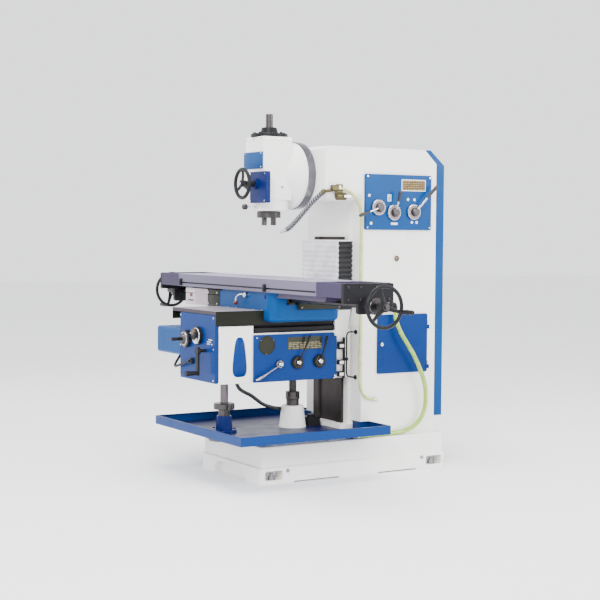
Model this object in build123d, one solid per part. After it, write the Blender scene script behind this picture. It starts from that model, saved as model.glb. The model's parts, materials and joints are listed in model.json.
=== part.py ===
from build123d import *
import os
from math import cos, sin, radians, tan, pi

# Vertical knee-type milling machine, in millimetres.
# +Z is up, the operator stands at -Y and looks along +Y, the table runs along X.
# The origin is on the floor, at the centre of the four anchor-bolt holes.

# Base casting and tray
BASE_X = 355
BASE_Y = 647
BASE_TOP = 212
FLANGE_TOP = 95
SEAT_TOP = 256
ANCHOR_X = 325
ANCHOR_Y = 560
ANCHOR_R = 13
TRAY_X = 527
TRAY_FRONT = -870
TRAY_REAR = 117
TRAY_TOP = 307
TRAY_WALL = 4

# Column, overarm and covers
COLUMN_X = 304
COLUMN_FRONT = 60
COLUMN_REAR = 600
COLUMN_TOP = 1911
WAY_X = 155
WAY_FRONT = 19
WAY_BACK = 45
WAY_BOTTOM = 283
WAY_TOP = 1390
OVERARM_FRONT = -195
OVERARM_BOTTOM = 1600
ARM_Z = 1745
RING_R = 198
RING_FRONT = -245
PANEL_Y = (69, 549)
PANEL_Z = (1432, 1758)
DOOR_Y = (169, 532)
DOOR_Z = (582, 932)
HINGE_X = 318
HINGE_Y = 538

# Spindle head
SPINDLE_Y = -396
HEAD_X = 111
HEAD_FRONT = -498
HEAD_BOTTOM = 1600
HEAD_TOP = 1963
COVER_SEAM = 1938
BAND_BOTTOM = 1536
QUILL_R = 60
QUILL_WHEEL = (75, -616, 1689)
CLAMP_KNOB = (20, 1558)
FEED_BOX_X = (5, 190)
DRAWBAR_TOP = 2100

# Knee
KNEE_X = 215
KNEE_FRONT = -862
KNEE_REAR = -60
KNEE_BOTTOM = 562
KNEE_TOP = 840
COVER_THICK = 22
POST_Y = -687
SCREW_Y = -225
SCREW_R = 23.6
CROSS_AXIS = (-120, 798)
SELECTOR_AXIS = (19, 824)
CRANK_AXIS = (100, 745)
KNEE_LEVERS = {"left": (-456, 662), "middle": (-336, 667), "right": (-188, 668)}

# Saddle and table
SADDLE_X = 310
SADDLE_Y = (-555, -85)
SADDLE_Z = (905.3, 1073.7)
FEED_BOX_END = -745
TABLE_X = 1046
TABLE_Y = (-577, -263)
TABLE_Z = (1074, 1152)
TABLE_MID_Y = -420
WORK_X = 812
SLOT_WIDTH = 18
SLOT_PITCH = 90
TABLE_SCREW = (-424, 1034)
TABLE_SCREW_R = 16
BRACKET_END = 1069
WHEEL_X = 1217
WHEEL_R = 106
GRIP_AT = {-1: 104, 1: -14}     # grip's place round each table wheel, in degrees

# Column-side levers: hub (y, z), ball (y, z)
GEAR_LEVERS = {
    "left": ((158, 1562), (4, 1514)),
    "middle": ((269, 1534), (287, 1652)),
    "right": ((414, 1539), (553, 1693)),
}

RUN = 0.05      # radial clearance of a running fit
GAP = 0.3       # clearance between moving neighbours


def block(x, y, z):
    """Rectangular block between low and high corners given as pairs."""
    size = Box(x[1] - x[0], y[1] - y[0], z[1] - z[0])
    return Pos((x[0] + x[1]) / 2, (y[0] + y[1]) / 2, (z[0] + z[1]) / 2) * size


def soft_block(x, y, z, corner, axis=Axis.Z, edge=0):
    """Block with rounded edges along one axis and, if asked, softened end faces."""
    shape = block(x, y, z)
    shape = fillet(shape.edges().filter_by(axis), corner)
    if edge:
        rims = shape.faces().filter_by(Plane(origin=(0, 0, 0), z_dir=axis.direction)).edges()
        shape = fillet(rims, edge)
    return shape


def rod(radius, start, end):
    """Round bar between two points."""
    line = Vector(*end) - Vector(*start)
    plane = Plane(origin=start, z_dir=line)
    return plane * Cylinder(radius, line.length, align=(Align.CENTER, Align.CENTER, Align.MIN))


def taper(radius_a, radius_b, start, end):
    """Conical bar between two points."""
    line = Vector(*end) - Vector(*start)
    plane = Plane(origin=start, z_dir=line)
    align = (Align.CENTER, Align.CENTER, Align.MIN)
    return plane * Cone(radius_a, radius_b, line.length, align=align)


def ball(radius, centre):
    return Pos(*centre) * Sphere(radius)


def prism_x(points, x):
    """Outline of (y, z) points, extruded from x[0] to x[1]."""
    face = Plane.YZ.offset(x[0]) * make_face(Polyline(points, close=True))
    return extrude(face, x[1] - x[0])


def prism_z(points, z):
    """Outline of (x, y) points, extruded from z[0] to z[1]."""
    face = Plane.XY.offset(z[0]) * make_face(Polyline(points, close=True))
    return extrude(face, z[1] - z[0])


def turned(profile, origin, direction):
    """Solid of revolution: (radius, height) points about an axis through origin."""
    sketch = Plane.XZ * make_face(Polyline(profile, close=True))
    solid = revolve(sketch, Axis.Z)
    return Plane(origin=origin, z_dir=direction) * solid


def ring_thread(radius, depth, pitch, low, high):
    """Profile of a screw with ring grooves between two heights."""
    points = [(0, low), (radius, low)]
    count = int((high - low) / pitch)
    for i in range(count):
        z = low + (i + 0.25) * pitch
        points += [(radius, z), (radius - depth, z + 0.25 * pitch)]
        points += [(radius - depth, z + 0.4 * pitch), (radius, z + 0.65 * pitch)]
    return points + [(radius, high), (0, high)]


def save(name, shape):
    """Write one node, as its separate solids."""
    solids = shape.solids()
    part = solids[0] if len(solids) == 1 else Compound(children=list(solids))
    export_step(part, f"parts/{name}.step")


# ---------------------------------------------------------------- base

def base_casting():
    flange = soft_block((-BASE_X, BASE_X), (-BASE_Y, BASE_Y), (0, FLANGE_TOP), 25)
    flange = chamfer(flange.faces().sort_by(Axis.Z)[-1].edges(), 6)
    body = soft_block((-345, 345), (-637, 637), (FLANGE_TOP - 6, BASE_TOP), 20)
    body = fillet(body.faces().sort_by(Axis.Z)[-1].edges(), 8)
    seat = block((-300, 300), (-560, -40), (BASE_TOP - 4, SEAT_TOP))
    shape = flange + body + seat
    for side in (-1, 1):
        arch = soft_block((-190, 190), (-40, 40), (-80, 70), 60, Axis.Y)
        shape -= Pos(0, side * BASE_Y, 0) * arch
        for low, high in ((-430, -120), (150, 430)):
            shape -= block((-BASE_X - 5, BASE_X + 5), (low, high), (-1, 8))
        for end in (-1, 1):
            y = end * ANCHOR_Y
            pocket = soft_block((-60, 60), (-58, 58), (22, 75), 10, Axis.X)
            shape -= Pos(side * (BASE_X - 25), y, 0) * pocket
            shape -= rod(ANCHOR_R, (side * ANCHOR_X, y, -5), (side * ANCHOR_X, y, 30))
    sump = block((-230, 230), (-480, 470), (30, 180))
    well = rod(32, (0, SCREW_Y, 100), (0, SCREW_Y, SEAT_TOP + 5))
    return shape - sump - well


def drip_tray():
    outline = [(-TRAY_X, TRAY_FRONT), (TRAY_X, TRAY_FRONT), (TRAY_X, TRAY_REAR),
               (COLUMN_X + 4, TRAY_REAR), (COLUMN_X + 4, COLUMN_FRONT - 6),
               (-COLUMN_X - 4, COLUMN_FRONT - 6), (-COLUMN_X - 4, TRAY_REAR),
               (-TRAY_X, TRAY_REAR)]
    face = make_face(Polyline(outline, close=True))
    inner = offset(face, amount=-TRAY_WALL, kind=Kind.INTERSECTION)
    lip_inner = offset(face, amount=-3 * TRAY_WALL, kind=Kind.INTERSECTION)
    shell = extrude(face, TRAY_TOP - SEAT_TOP) - Pos(0, 0, TRAY_WALL) * extrude(inner, 100)
    lip = extrude(face, TRAY_WALL) - extrude(lip_inner, TRAY_WALL)
    shape = Pos(0, 0, SEAT_TOP) * shell + Pos(0, 0, TRAY_TOP - TRAY_WALL) * lip
    shape -= block((-231, 231), (-37, 80), (SEAT_TOP - 5, TRAY_TOP + 5))
    shape -= rod(80.5, (0, SCREW_Y, 200), (0, SCREW_Y, 300))
    shape -= rod(23.3, (0, POST_Y, 200), (0, POST_Y, 300))
    return shape


def screw_pedestal():
    shape = taper(80, 65, (0, SCREW_Y, SEAT_TOP), (0, SCREW_Y, 388))
    shape += rod(80.4, (0, SCREW_Y, SEAT_TOP), (0, SCREW_Y, SEAT_TOP + 14))
    shape = fillet(shape.edges().sort_by(Axis.Z)[-1], 5)
    return shape - rod(30, (0, SCREW_Y, SEAT_TOP - 1), (0, SCREW_Y, 400))


def elevating_nut():
    collar = rod(38, (0, SCREW_Y, 388), (0, SCREW_Y, 424))
    collar = chamfer(collar.edges(), 2)
    nut = rod(42, (0, SCREW_Y, 424), (0, SCREW_Y, 471))
    nut = chamfer(nut.edges(), 3)
    shape = collar + nut
    for i in range(6):
        notch = Pos(42, 0, 455) * Box(14, 12, 34)
        shape -= Pos(0, SCREW_Y, 0) * Rot(0, 0, 60 * i) * notch
    return shape - rod(SCREW_R + RUN, (0, SCREW_Y, 380), (0, SCREW_Y, 480))


def support_post():
    foot = rod(69, (0, POST_Y - 25, BASE_TOP), (0, POST_Y - 25, SEAT_TOP))
    foot = fillet(foot.edges().sort_by(Axis.Z)[0], 10)
    post = rod(23, (0, POST_Y, SEAT_TOP), (0, POST_Y, 725))
    post = chamfer(post.edges().sort_by(Axis.Z)[-1], 3)
    return foot + post


def post_clamp():
    collar = rod(33, (0, POST_Y, 355), (0, POST_Y, 393))
    ring = rod(61, (0, POST_Y, 393), (0, POST_Y, 427))
    ring = chamfer(ring.edges(), 3)
    shape = collar + ring + soft_block((40, 84), (POST_Y - 16, POST_Y + 16), (395, 425), 6)
    for i in range(4):
        hole = Rot(0, 0, 45 + 90 * i) * Pos(46, 0, 424) * Cylinder(6, 12)
        shape -= Pos(0, POST_Y, 0) * hole
    shape -= block((50, 90), (POST_Y - 2, POST_Y + 2), (390, 430))
    return shape - rod(23, (0, POST_Y, 350), (0, POST_Y, 430))


def post_boss():
    floor = SEAT_TOP + TRAY_WALL
    flange = rod(74, (0, POST_Y, floor), (0, POST_Y, floor + 16))
    flange = fillet(flange.edges().sort_by(Axis.Z)[-1], 4)
    boss = taper(50, 42, (0, POST_Y, floor + 10), (0, POST_Y, 355))
    shape = flange + boss
    for i in range(4):
        head = Rot(0, 0, 45 + 90 * i) * Pos(62, 0, floor + 20) * extrude(RegularPolygon(8, 6), 8)
        shape += Pos(0, POST_Y, 0) * head
    return shape - rod(23, (0, POST_Y, floor - 1), (0, POST_Y, 360))


# ---------------------------------------------------------------- column

def column_casting():
    main = block((-COLUMN_X, COLUMN_X), (COLUMN_FRONT, COLUMN_REAR), (BASE_TOP, COLUMN_TOP))
    main = fillet(main.edges().filter_by(Axis.Z), 10)
    bevel = prism_x([(508, COLUMN_TOP), (508, 1925), (620, 1925), (620, 1824), (COLUMN_REAR, 1824)],
                    (-COLUMN_X - 1, COLUMN_X + 1))
    arm = block((-COLUMN_X, COLUMN_X), (OVERARM_FRONT, COLUMN_FRONT + 20),
                (OVERARM_BOTTOM, COLUMN_TOP))
    low = arm.edges().filter_by(Axis.Y).sort_by(Axis.Z)[:2]
    arm = fillet(low, 55)
    front_edges = arm.faces().sort_by(Axis.Y)[0].edges()
    arm = fillet(front_edges, 22)
    boss = rod(150, (0, OVERARM_FRONT, ARM_Z), (0, -120, ARM_Z))
    pad = block((-187, 187), (WAY_BACK, COLUMN_FRONT + 5), (WAY_BOTTOM, OVERARM_BOTTOM + 10))
    foot = block((-230, 230), (-35, COLUMN_FRONT + 5), (BASE_TOP, WAY_BOTTOM))
    shape = main - bevel + arm + boss + pad + foot
    room = block((-270, 270), (90, 570), (250, 1870))
    shape = shape - room + block((-270, 270), (90, 420), (1200, 1225))
    shape -= rod(52, (0, OVERARM_FRONT - 5, ARM_Z), (0, 100, ARM_Z))
    shape -= block((250, COLUMN_X + 1), (110, 510), (1460, 1730))
    shape -= block((250, COLUMN_X + 1), (190, 510), (610, 905))
    shape -= block((-230, 230), (560, COLUMN_REAR + 1), (360, 1150))
    for z in (625, 865):
        lug = rod(6, (HINGE_X, HINGE_Y, z), (HINGE_X, HINGE_Y, z + 24))
        leaf = block((COLUMN_X - 2, HINGE_X), (HINGE_Y - 3, HINGE_Y + 4), (z, z + 24))
        pin = rod(2.5, (HINGE_X, HINGE_Y, z - 22), (HINGE_X, HINGE_Y, z + 1))
        shape += lug + leaf + pin
    sight = rod(16, (COLUMN_X - 1, 298, 1263), (COLUMN_X + 12, 298, 1263))
    return shape + chamfer(sight.edges().sort_by(Axis.X)[-1], 3)


def column_ways():
    outline = [(-WAY_X, WAY_FRONT), (-96, WAY_FRONT), (-90, WAY_FRONT + 10),
               (90, WAY_FRONT + 10), (96, WAY_FRONT), (WAY_X, WAY_FRONT),
               (WAY_X - 15, WAY_BACK), (-WAY_X + 15, WAY_BACK)]
    return prism_z(outline, (WAY_BOTTOM, WAY_TOP))


def rear_cover():
    outer = [(508, 1911), (552, 1911), (655, 1822), (655, 309), (600, 309), (600, 1824)]
    inner = [(599, 1790), (650, 1790), (650, 314), (599, 314)]
    shape = prism_x(outer, (-COLUMN_X + 2, COLUMN_X - 2))
    return shape - prism_x(inner, (-COLUMN_X + 8, COLUMN_X - 8))


def gear_panel():
    x = (COLUMN_X, COLUMN_X + 14)
    shape = soft_block(x, PANEL_Y, PANEL_Z, 10, Axis.X)
    shape = fillet(shape.faces().sort_by(Axis.X)[-1].edges(), 3)
    for hub, _ in GEAR_LEVERS.values():
        shape -= rod(12 + RUN, (x[0] - 1, *hub), (x[1] + 1, *hub))
    return shape


def gear_lever(hub, tip):
    """Dial disc on a shaft through the panel, with a rod to a ball handle."""
    face = COLUMN_X + 14 + GAP
    disc = rod(47, (face, *hub), (face + 15, *hub))
    disc = chamfer(disc.edges().sort_by(Axis.X)[-1], 2)
    boss = taper(26, 20, (face + 15, *hub), (face + 36, *hub))
    shaft = rod(12, (COLUMN_X - 60, *hub), (face + 1, *hub))
    arm = rod(6, (face + 26, *hub), (face + 46, *tip))
    return disc + boss + shaft + arm + ball(16, (face + 46, *tip))


def side_door():
    x = (COLUMN_X + 0.5, COLUMN_X + 12)
    shape = soft_block(x, DOOR_Y, DOOR_Z, 8, Axis.X)
    shape = fillet(shape.faces().sort_by(Axis.X)[-1].edges(), 3)
    for z in (625, 865):
        knuckle = rod(6, (HINGE_X, HINGE_Y, z - 24), (HINGE_X, HINGE_Y, z - GAP))
        leaf = block((x[1] - 3, HINGE_X), (DOOR_Y[1] - 14, HINGE_Y), (z - 24, z - GAP))
        shape += knuckle + leaf
        shape -= rod(2.5 + RUN, (HINGE_X, HINGE_Y, z - 30), (HINGE_X, HINGE_Y, z + 1))
    latch = rod(11, (x[1], DOOR_Y[0] + 26, 757), (x[1] + 6, DOOR_Y[0] + 26, 757))
    return shape + latch


def way_bellows():
    """Accordion cover in front of the column ways, open at the back."""
    low, high, pleats = 960.5, 1371, 11
    pitch = (high - low) / pleats
    shape = None
    for i in range(pleats):
        z = low + i * pitch
        fold = block((-208, 208), (-40, 58), (z, z + 0.7 * pitch))
        neck = block((-202, 202), (-34, 58), (z + 0.7 * pitch, z + pitch))
        shape = fold + neck if shape is None else shape + fold + neck
    shape -= block((-190, 190), (-4, 60), (low - 1, high + 1))
    return shape + block((-202, 202), (-34, WAY_FRONT - 1), (high - 6, high))


def swivel_ring():
    shape = rod(RING_R, (0, RING_FRONT, ARM_Z), (0, OVERARM_FRONT, ARM_Z))
    shape = chamfer(shape.edges(), 3)
    return shape - rod(120, (0, RING_FRONT - 1, ARM_Z), (0, OVERARM_FRONT + 1, ARM_Z))


# ---------------------------------------------------------------- drive inside the column

MOTOR_Z = 700
GEAR_PITCH_R = 75
PINION_PITCH_R = 50
RUN_MESH = 0.25     # how far each gear blank stays inside its pitch cone
BELT_Y = (440, 480)


def main_motor():
    body = rod(120, (0, 150, MOTOR_Z), (0, 400, MOTOR_Z))
    body = chamfer(body.edges(), 8)
    for i in range(12):
        fin = Rot(0, 30 * i, 0) * Pos(120, 275, 0) * Box(16, 200, 6)
        body += Pos(0, 0, MOTOR_Z) * fin
    foot = block((-110, 110), (180, 370), (520, MOTOR_Z - 70))
    shelf = block((-270, 270), (90, 570), (500, 520))
    return body + foot + shelf - rod(19 + RUN, (0, 350, MOTOR_Z), (0, 401, MOTOR_Z))


def grooved_pulley(radius, y, z):
    """V-belt pulley with two grooves, turning about Y."""
    profile = [(0, 0), (radius, 0), (radius, 5)]
    for i in range(2):
        start = 5 + 16 * i
        profile += [(radius - 10, start + 2), (radius - 10, start + 12), (radius, start + 14)]
        profile += [(radius, start + 16)]
    profile += [(radius, 40), (0, 40)]
    return turned(profile, (0, y, z), (0, 1, 0))


def motor_pulley():
    shaft = rod(19, (0, 360, MOTOR_Z), (0, BELT_Y[0] + 1, MOTOR_Z))
    return shaft + grooved_pulley(75, BELT_Y[0], MOTOR_Z)


def drive_belt():
    """Two parallel V-belts round the motor and overarm pulleys."""
    belts = []
    for i in range(2):
        y = BELT_Y[0] + 5 + 16 * i + 2.5
        loop_low = rod(73, (0, y, MOTOR_Z), (0, y + 9, MOTOR_Z))
        loop_high = rod(118, (0, y, ARM_Z), (0, y + 9, ARM_Z))
        span = ARM_Z - MOTOR_Z
        lean = (118 - 73) / span
        rise = (1 - lean * lean) ** 0.5
        corners = [(73 * rise, MOTOR_Z - 73 * lean), (118 * rise, ARM_Z - 118 * lean),
                   (-118 * rise, ARM_Z - 118 * lean), (-73 * rise, MOTOR_Z - 73 * lean)]
        web = Plane(origin=(0, y, 0), x_dir=(1, 0, 0), z_dir=(0, -1, 0)) * make_face(
            Polyline([(px, pz) for px, pz in corners], close=True))
        outer = loop_low + loop_high + extrude(web, -9)
        inner_corners = [(65.5 * rise, MOTOR_Z - 65.5 * lean),
                         (110.5 * rise, ARM_Z - 110.5 * lean),
                         (-110.5 * rise, ARM_Z - 110.5 * lean),
                         (-65.5 * rise, MOTOR_Z - 65.5 * lean)]
        inner_web = Plane(origin=(0, y, 0), x_dir=(1, 0, 0), z_dir=(0, -1, 0)) * make_face(
            Polyline([(px, pz) for px, pz in inner_corners], close=True))
        hollow = rod(65.5, (0, y - 1, MOTOR_Z), (0, y + 10, MOTOR_Z))
        hollow += rod(110.5, (0, y - 1, ARM_Z), (0, y + 10, ARM_Z))
        hollow += Pos(0, -1, 0) * extrude(inner_web, -11)
        belts.append(outer - hollow)
    return Compound(children=[solid for belt in belts for solid in belt.solids()])


def bevel_wheel(outer, inner, height, back, teeth):
    """Bevel gear with straight tooth gaps: cone from z = 0 along +Z, plain back below it."""
    shape = Cone(outer, inner, height, align=(Align.CENTER, Align.CENTER, Align.MIN))
    shape += Cylinder(outer, back, align=(Align.CENTER, Align.CENTER, Align.MAX))
    slope = (outer - inner) / height
    width = outer * 0.085
    for i in range(teeth):
        gap = Plane(origin=(outer, 0, 0), z_dir=(-slope, 0, 1)) * Box(8, width, 6 * height)
        shape -= Rot(0, 0, 360 * i / teeth) * gap
    return shape


def overarm_shaft():
    """Overarm drive shaft with its belt pulley and bevel pinion."""
    rear = SPINDLE_Y + GEAR_PITCH_R
    shaft = rod(20, (0, rear - 10, ARM_Z), (0, BELT_Y[1] + 10, ARM_Z))
    radius = PINION_PITCH_R - RUN_MESH
    wheel = bevel_wheel(radius, radius * 0.774, 17, 9, 24)
    pinion = Plane(origin=(0, rear, ARM_Z), z_dir=(0, -1, 0)) * wheel
    collar = rod(30, (0, rear, ARM_Z), (0, rear + 31, ARM_Z))
    return shaft + pinion + collar + grooved_pulley(120, BELT_Y[0], ARM_Z)


# ---------------------------------------------------------------- coolant and cables

COOLANT_Y = -105
COOLANT_Z = 1622
SUPPLY_R = 8
RETURN_R = 13
CONDUIT_R = 11
NECK_R = 14

SUPPLY_ROUTE = [(322, -128, 1668), (322, -95, 1667), (321, -57, 1657), (320, -22, 1637),
                (320, 9, 1606), (320, 29, 1564), (320, 38, 1512), (320, 39, 1450),
                (320, 38, 560), (320, 41, 515), (320, 55, 475), (320, 84, 446),
                (320, 122, 435), (320, 160, 434)]
RETURN_ROUTE = [(338, 272, 968), (345, 273, 915), (357, 284, 862), (366, 308, 810),
                (370, 341, 762), (369, 379, 712), (366, 415, 655), (364, 448, 595),
                (361, 476, 536), (356, 493, 472), (351, 498, 409), (346, 492, 350),
                (340, 466, 296), (334, 424, 258), (329, 372, 236), (326, 315, 228),
                (325, 240, 226), (325, 165, 226.5), (325, 90, 226), (325, 14, 226.4)]
CONDUIT_ROUTE = [(100, -664, KNEE_BOTTOM - 3), (99, -655, 527), (90, -615, 499), (81, -560, 476),
                 (66, -506, 441), (40, -450, 408), (0, -366, 382), (-60, -290, 366),
                 (-98, -226, 356), (-118, -165, 346), (-128, -120, 328), (-131, -93, 302),
                 (-131, -85, 272)]
NECK_ROUTE = [(316, -232, 1637), (290, -270, 1595), (252, -292, 1550), (206, -311, 1502),
              (160, -328, 1458), (118, -344, 1426), (78, -368, 1410)]


def route_radii(points):
    """Bend radius at each corner, from the shorter run beside it and the turn."""
    radii = []
    for before, corner, after in zip(points, points[1:], points[2:]):
        arrive = Vector(*corner) - Vector(*before)
        leave = Vector(*after) - Vector(*corner)
        turn = radians(arrive.get_angle(leave))
        radii.append(0.45 * min(arrive.length, leave.length) / tan(turn / 2))
    return radii


def hose(name, points, radius):
    """Tube of straight runs joined by tangent arcs; prints its bends, length and volume."""
    radii = route_radii(points)
    path = FilletPolyline(*points, radius=radii)
    start = Vector(*points[1]) - Vector(*points[0])
    shape = sweep(Plane(origin=points[0], z_dir=start) * Circle(radius), path=path)
    section = pi * radius * radius
    print(name, "bends", [round(r) for r in radii], "length", round(path.length),
          "volume ratio", round(shape.volume / (section * path.length), 4))
    return shape


def coolant_valve():
    """Valve body on a clamp at the overarm's side, with its outlet pipe and ball joint."""
    y, z = COOLANT_Y, COOLANT_Z
    body = rod(22, (322, y - 32, z), (322, y + 32, z))
    body = chamfer(body.edges(), 3)
    bracket = block((COLUMN_X, 312), (y - 20, y + 20), (z - 10, 1692))
    ring = soft_block((308, 336), (-169, -129), (1650, 1686), 8, Axis.Y)
    riser = rod(10, (322, y - 22, z), (322, y - 35, 1655))
    outlet = rod(9, (320, -165, 1655), (318, -216, 1648))
    joint = ball(14, (318, -220, 1648))
    start = Vector(*NECK_ROUTE[0])
    aim = (Vector(*NECK_ROUTE[1]) - start).normalized()
    collar = rod(15, tuple(start - aim * 14), tuple(start))
    shape = body + bracket + ring + riser + outlet + joint + collar
    return shape - rod(5 + RUN, (315, y + 8, z), (350, y + 8, z))


def coolant_tap():
    """Quarter-turn lever on the coolant valve."""
    y = COOLANT_Y + 8
    stem = rod(5, (320, y, COOLANT_Z), (354, y, COOLANT_Z))
    lever = soft_block((349, 355), (y - 6, y + 42), (COOLANT_Z - 6, COOLANT_Z + 6), 5, Axis.X)
    return stem + lever


def coolant_pump():
    shape = soft_block((-42, 42), (-136, -52), (SEAT_TOP + TRAY_WALL, 312), 8)
    return shape + rod(26, (0, -94, 300), (0, -94, 326))


def hose_fittings():
    """Column elbow of the return hose, supply inlet, tray drain and conduit gland."""
    start = Vector(*RETURN_ROUTE[0])
    aim = (Vector(*RETURN_ROUTE[1]) - start).normalized()
    elbow = rod(20, (COLUMN_X, 272, 990), (COLUMN_X + 8, 272, 990))
    elbow += soft_block((COLUMN_X + 7, 354), (257, 287), (974, 1006), 9, Axis.Y)
    elbow += rod(15, tuple(start - aim * 14), tuple(start))
    inlet = block((COLUMN_X, 331), (161, 178), (423, 445))
    inlet = fillet(inlet.edges().filter_by(Axis.Y), 6)
    drain = block((311, 339), (-16, 14), (BASE_TOP, SEAT_TOP))
    x, y, z = CONDUIT_ROUTE[-1]
    gland = rod(15, (x, y, SEAT_TOP + TRAY_WALL), (x, y, z - 4))
    return Compound(children=[part.solids()[0] for part in (elbow, inlet, drain, gland)])


# ---------------------------------------------------------------- spindle head

def head_casting():
    body = block((-HEAD_X, HEAD_X), (HEAD_FRONT, -300), (HEAD_BOTTOM, HEAD_TOP))
    body = fillet(body.edges().filter_by(Axis.Z), 16)
    body = fillet(body.faces().sort_by(Axis.Z)[-1].edges(), 5)
    seam = block((-HEAD_X - 5, HEAD_X + 5), (HEAD_FRONT - 5, -299), (COVER_SEAM, COVER_SEAM + 2.5))
    seam -= block((2 - HEAD_X, HEAD_X - 2), (HEAD_FRONT + 2, -298), (COVER_SEAM - 1, HEAD_TOP))
    body -= seam
    band = soft_block((-104, 104), (HEAD_FRONT + 8, -300), (BAND_BOTTOM, HEAD_BOTTOM + 5), 60)
    band = chamfer(band.faces().sort_by(Axis.Z)[0].edges(), 4)
    start = RING_FRONT - GAP
    flange = rod(194, (0, start, ARM_Z), (0, start - 18, ARM_Z))
    flare = taper(193, 116, (0, start - 17, ARM_Z), (0, start - 100, ARM_Z))
    shape = body + band + flange + flare
    axis_bottom = (0, SPINDLE_Y, BAND_BOTTOM - 1)
    shape -= rod(QUILL_R + RUN, axis_bottom, (0, SPINDLE_Y, 1680))
    shape -= rod(92, (0, SPINDLE_Y, 1680), (0, SPINDLE_Y, 1830))
    shape -= rod(30, (0, SPINDLE_Y, 1820), (0, SPINDLE_Y, HEAD_TOP + 1))
    shape -= rod(56, (0, SPINDLE_Y, ARM_Z), (0, start + 1, ARM_Z))
    x, _, z = QUILL_WHEEL
    shape -= rod(10 + RUN, (x, HEAD_FRONT - 1, z), (x, -460, z))
    x, z = CLAMP_KNOB
    return shape - rod(6 + RUN, (x, HEAD_FRONT, z), (x, -466, z))


def feed_box():
    x, y, z = QUILL_WHEEL
    shape = soft_block(FEED_BOX_X, (HEAD_FRONT - 30, HEAD_FRONT), (1580, 1760), 8, Axis.Y)
    shape = fillet(shape.faces().sort_by(Axis.Y)[0].edges(), 4)
    dial = rod(31, (x, HEAD_FRONT - 44, z), (x, HEAD_FRONT - 29, z))
    return shape + dial - rod(10 + RUN, (x, HEAD_FRONT - 60, z), (x, HEAD_FRONT + 1, z))


def bearing_flange():
    disc = rod(108, (0, SPINDLE_Y, HEAD_TOP), (0, SPINDLE_Y, HEAD_TOP + 22))
    disc = fillet(disc.edges().sort_by(Axis.Z)[-1], 6)
    hub = taper(54, 44, (0, SPINDLE_Y, HEAD_TOP + 18), (0, SPINDLE_Y, HEAD_TOP + 58))
    shape = disc + chamfer(hub.edges().sort_by(Axis.Z)[-1], 3)
    for i in range(8):
        bolt = Rot(0, 0, 22.5 + 45 * i) * Pos(86, 0, HEAD_TOP + 20) * extrude(RegularPolygon(9, 6), 10)
        shape += Pos(0, SPINDLE_Y, 0) * bolt
    return shape - rod(25, (0, SPINDLE_Y, HEAD_TOP - 1), (0, SPINDLE_Y, HEAD_TOP + 100))


def spoked_wheel(mean_r, rim_r, hub_r, hub_len, spokes, width, phase):
    """Handwheel in the XY plane about Z: round rim, hub and tapered flat spokes."""
    shape = Torus(mean_r, rim_r)
    shape += Pos(0, 0, -hub_len * 0.25) * Cylinder(hub_r, hub_len)
    for i in range(spokes):
        outline = [(0, -width), (mean_r, -width * 0.55), (mean_r, width * 0.55), (0, width)]
        arm = extrude(make_face(Polyline(outline, close=True)), rim_r * 0.6, both=True)
        shape += Rot(0, 0, phase + 360 * i / spokes) * arm
    return shape


def quill_handwheel():
    x, y, z = QUILL_WHEEL
    wheel = spoked_wheel(81, 9, 19, 36, 3, 12, 90)
    wheel = Plane(origin=(x, y, z), x_dir=(1, 0, 0), z_dir=(0, -1, 0)) * wheel
    return wheel + rod(10, (x, y, z), (x, -465, z))


def quill_clamp_knob():
    x, z = CLAMP_KNOB
    stem = rod(6, (x, -560, z), (x, -468, z))
    knob = rod(17, (x, -584, z), (x, -554, z))
    return fillet(knob.edges(), 4) + stem


def quill():
    shape = rod(QUILL_R, (0, SPINDLE_Y, BAND_BOTTOM + 2), (0, SPINDLE_Y, 1676))
    shape = chamfer(shape.edges().sort_by(Axis.Z)[0], 2)
    return shape - rod(52, (0, SPINDLE_Y, BAND_BOTTOM - 2), (0, SPINDLE_Y, 1680))


def spindle_bearings():
    rings = []
    for low in (1552, 1640):
        ring = rod(52, (0, SPINDLE_Y, low), (0, SPINDLE_Y, low + 28))
        ring -= rod(40 + RUN, (0, SPINDLE_Y, low - 1), (0, SPINDLE_Y, low + 29))
        rings.append(ring.solids()[0])
    return Compound(children=rings)


def spindle():
    """Spindle with its nose flange, drive keys, taper bore and draw nut."""
    profile = [(0, 1497), (69.5, 1497), (69.5, 1530), (66, 1534), (40, 1534), (40, 1676),
               (22, 1676), (22, DRAWBAR_TOP - 70), (0, DRAWBAR_TOP - 70)]
    shape = turned(profile, (0, SPINDLE_Y, 0), (0, 0, 1))
    head = rod(21, (0, SPINDLE_Y, DRAWBAR_TOP - 74), (0, SPINDLE_Y, DRAWBAR_TOP))
    shape += chamfer(head.edges().sort_by(Axis.Z)[-1], 3)
    shape -= taper(35, 20, (0, SPINDLE_Y, 1496), (0, SPINDLE_Y, 1625))
    for side in (-1, 1):
        key = soft_block((-12.5, 12.5), (-12.5, 12.5), (1453, 1500), 3)
        shape += Pos(side * 52, SPINDLE_Y, 0) * key
    return shape


def spindle_gear():
    """Bevel gear that drives the spindle, on a sleeve the spindle slides through."""
    level = ARM_Z - PINION_PITCH_R
    radius = GEAR_PITCH_R - RUN_MESH
    wheel = Pos(0, SPINDLE_Y, level) * bevel_wheel(radius, radius * 0.774, 11.3, 11, 36)
    sleeve = rod(28, (0, SPINDLE_Y, 1684), (0, SPINDLE_Y, 1700))
    sleeve += taper(28, 26, (0, SPINDLE_Y, 1700), (0, SPINDLE_Y, 1706.3))
    return wheel + sleeve - rod(22 + RUN, (0, SPINDLE_Y, 1683), (0, SPINDLE_Y, 1801))


# ---------------------------------------------------------------- knee

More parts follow.
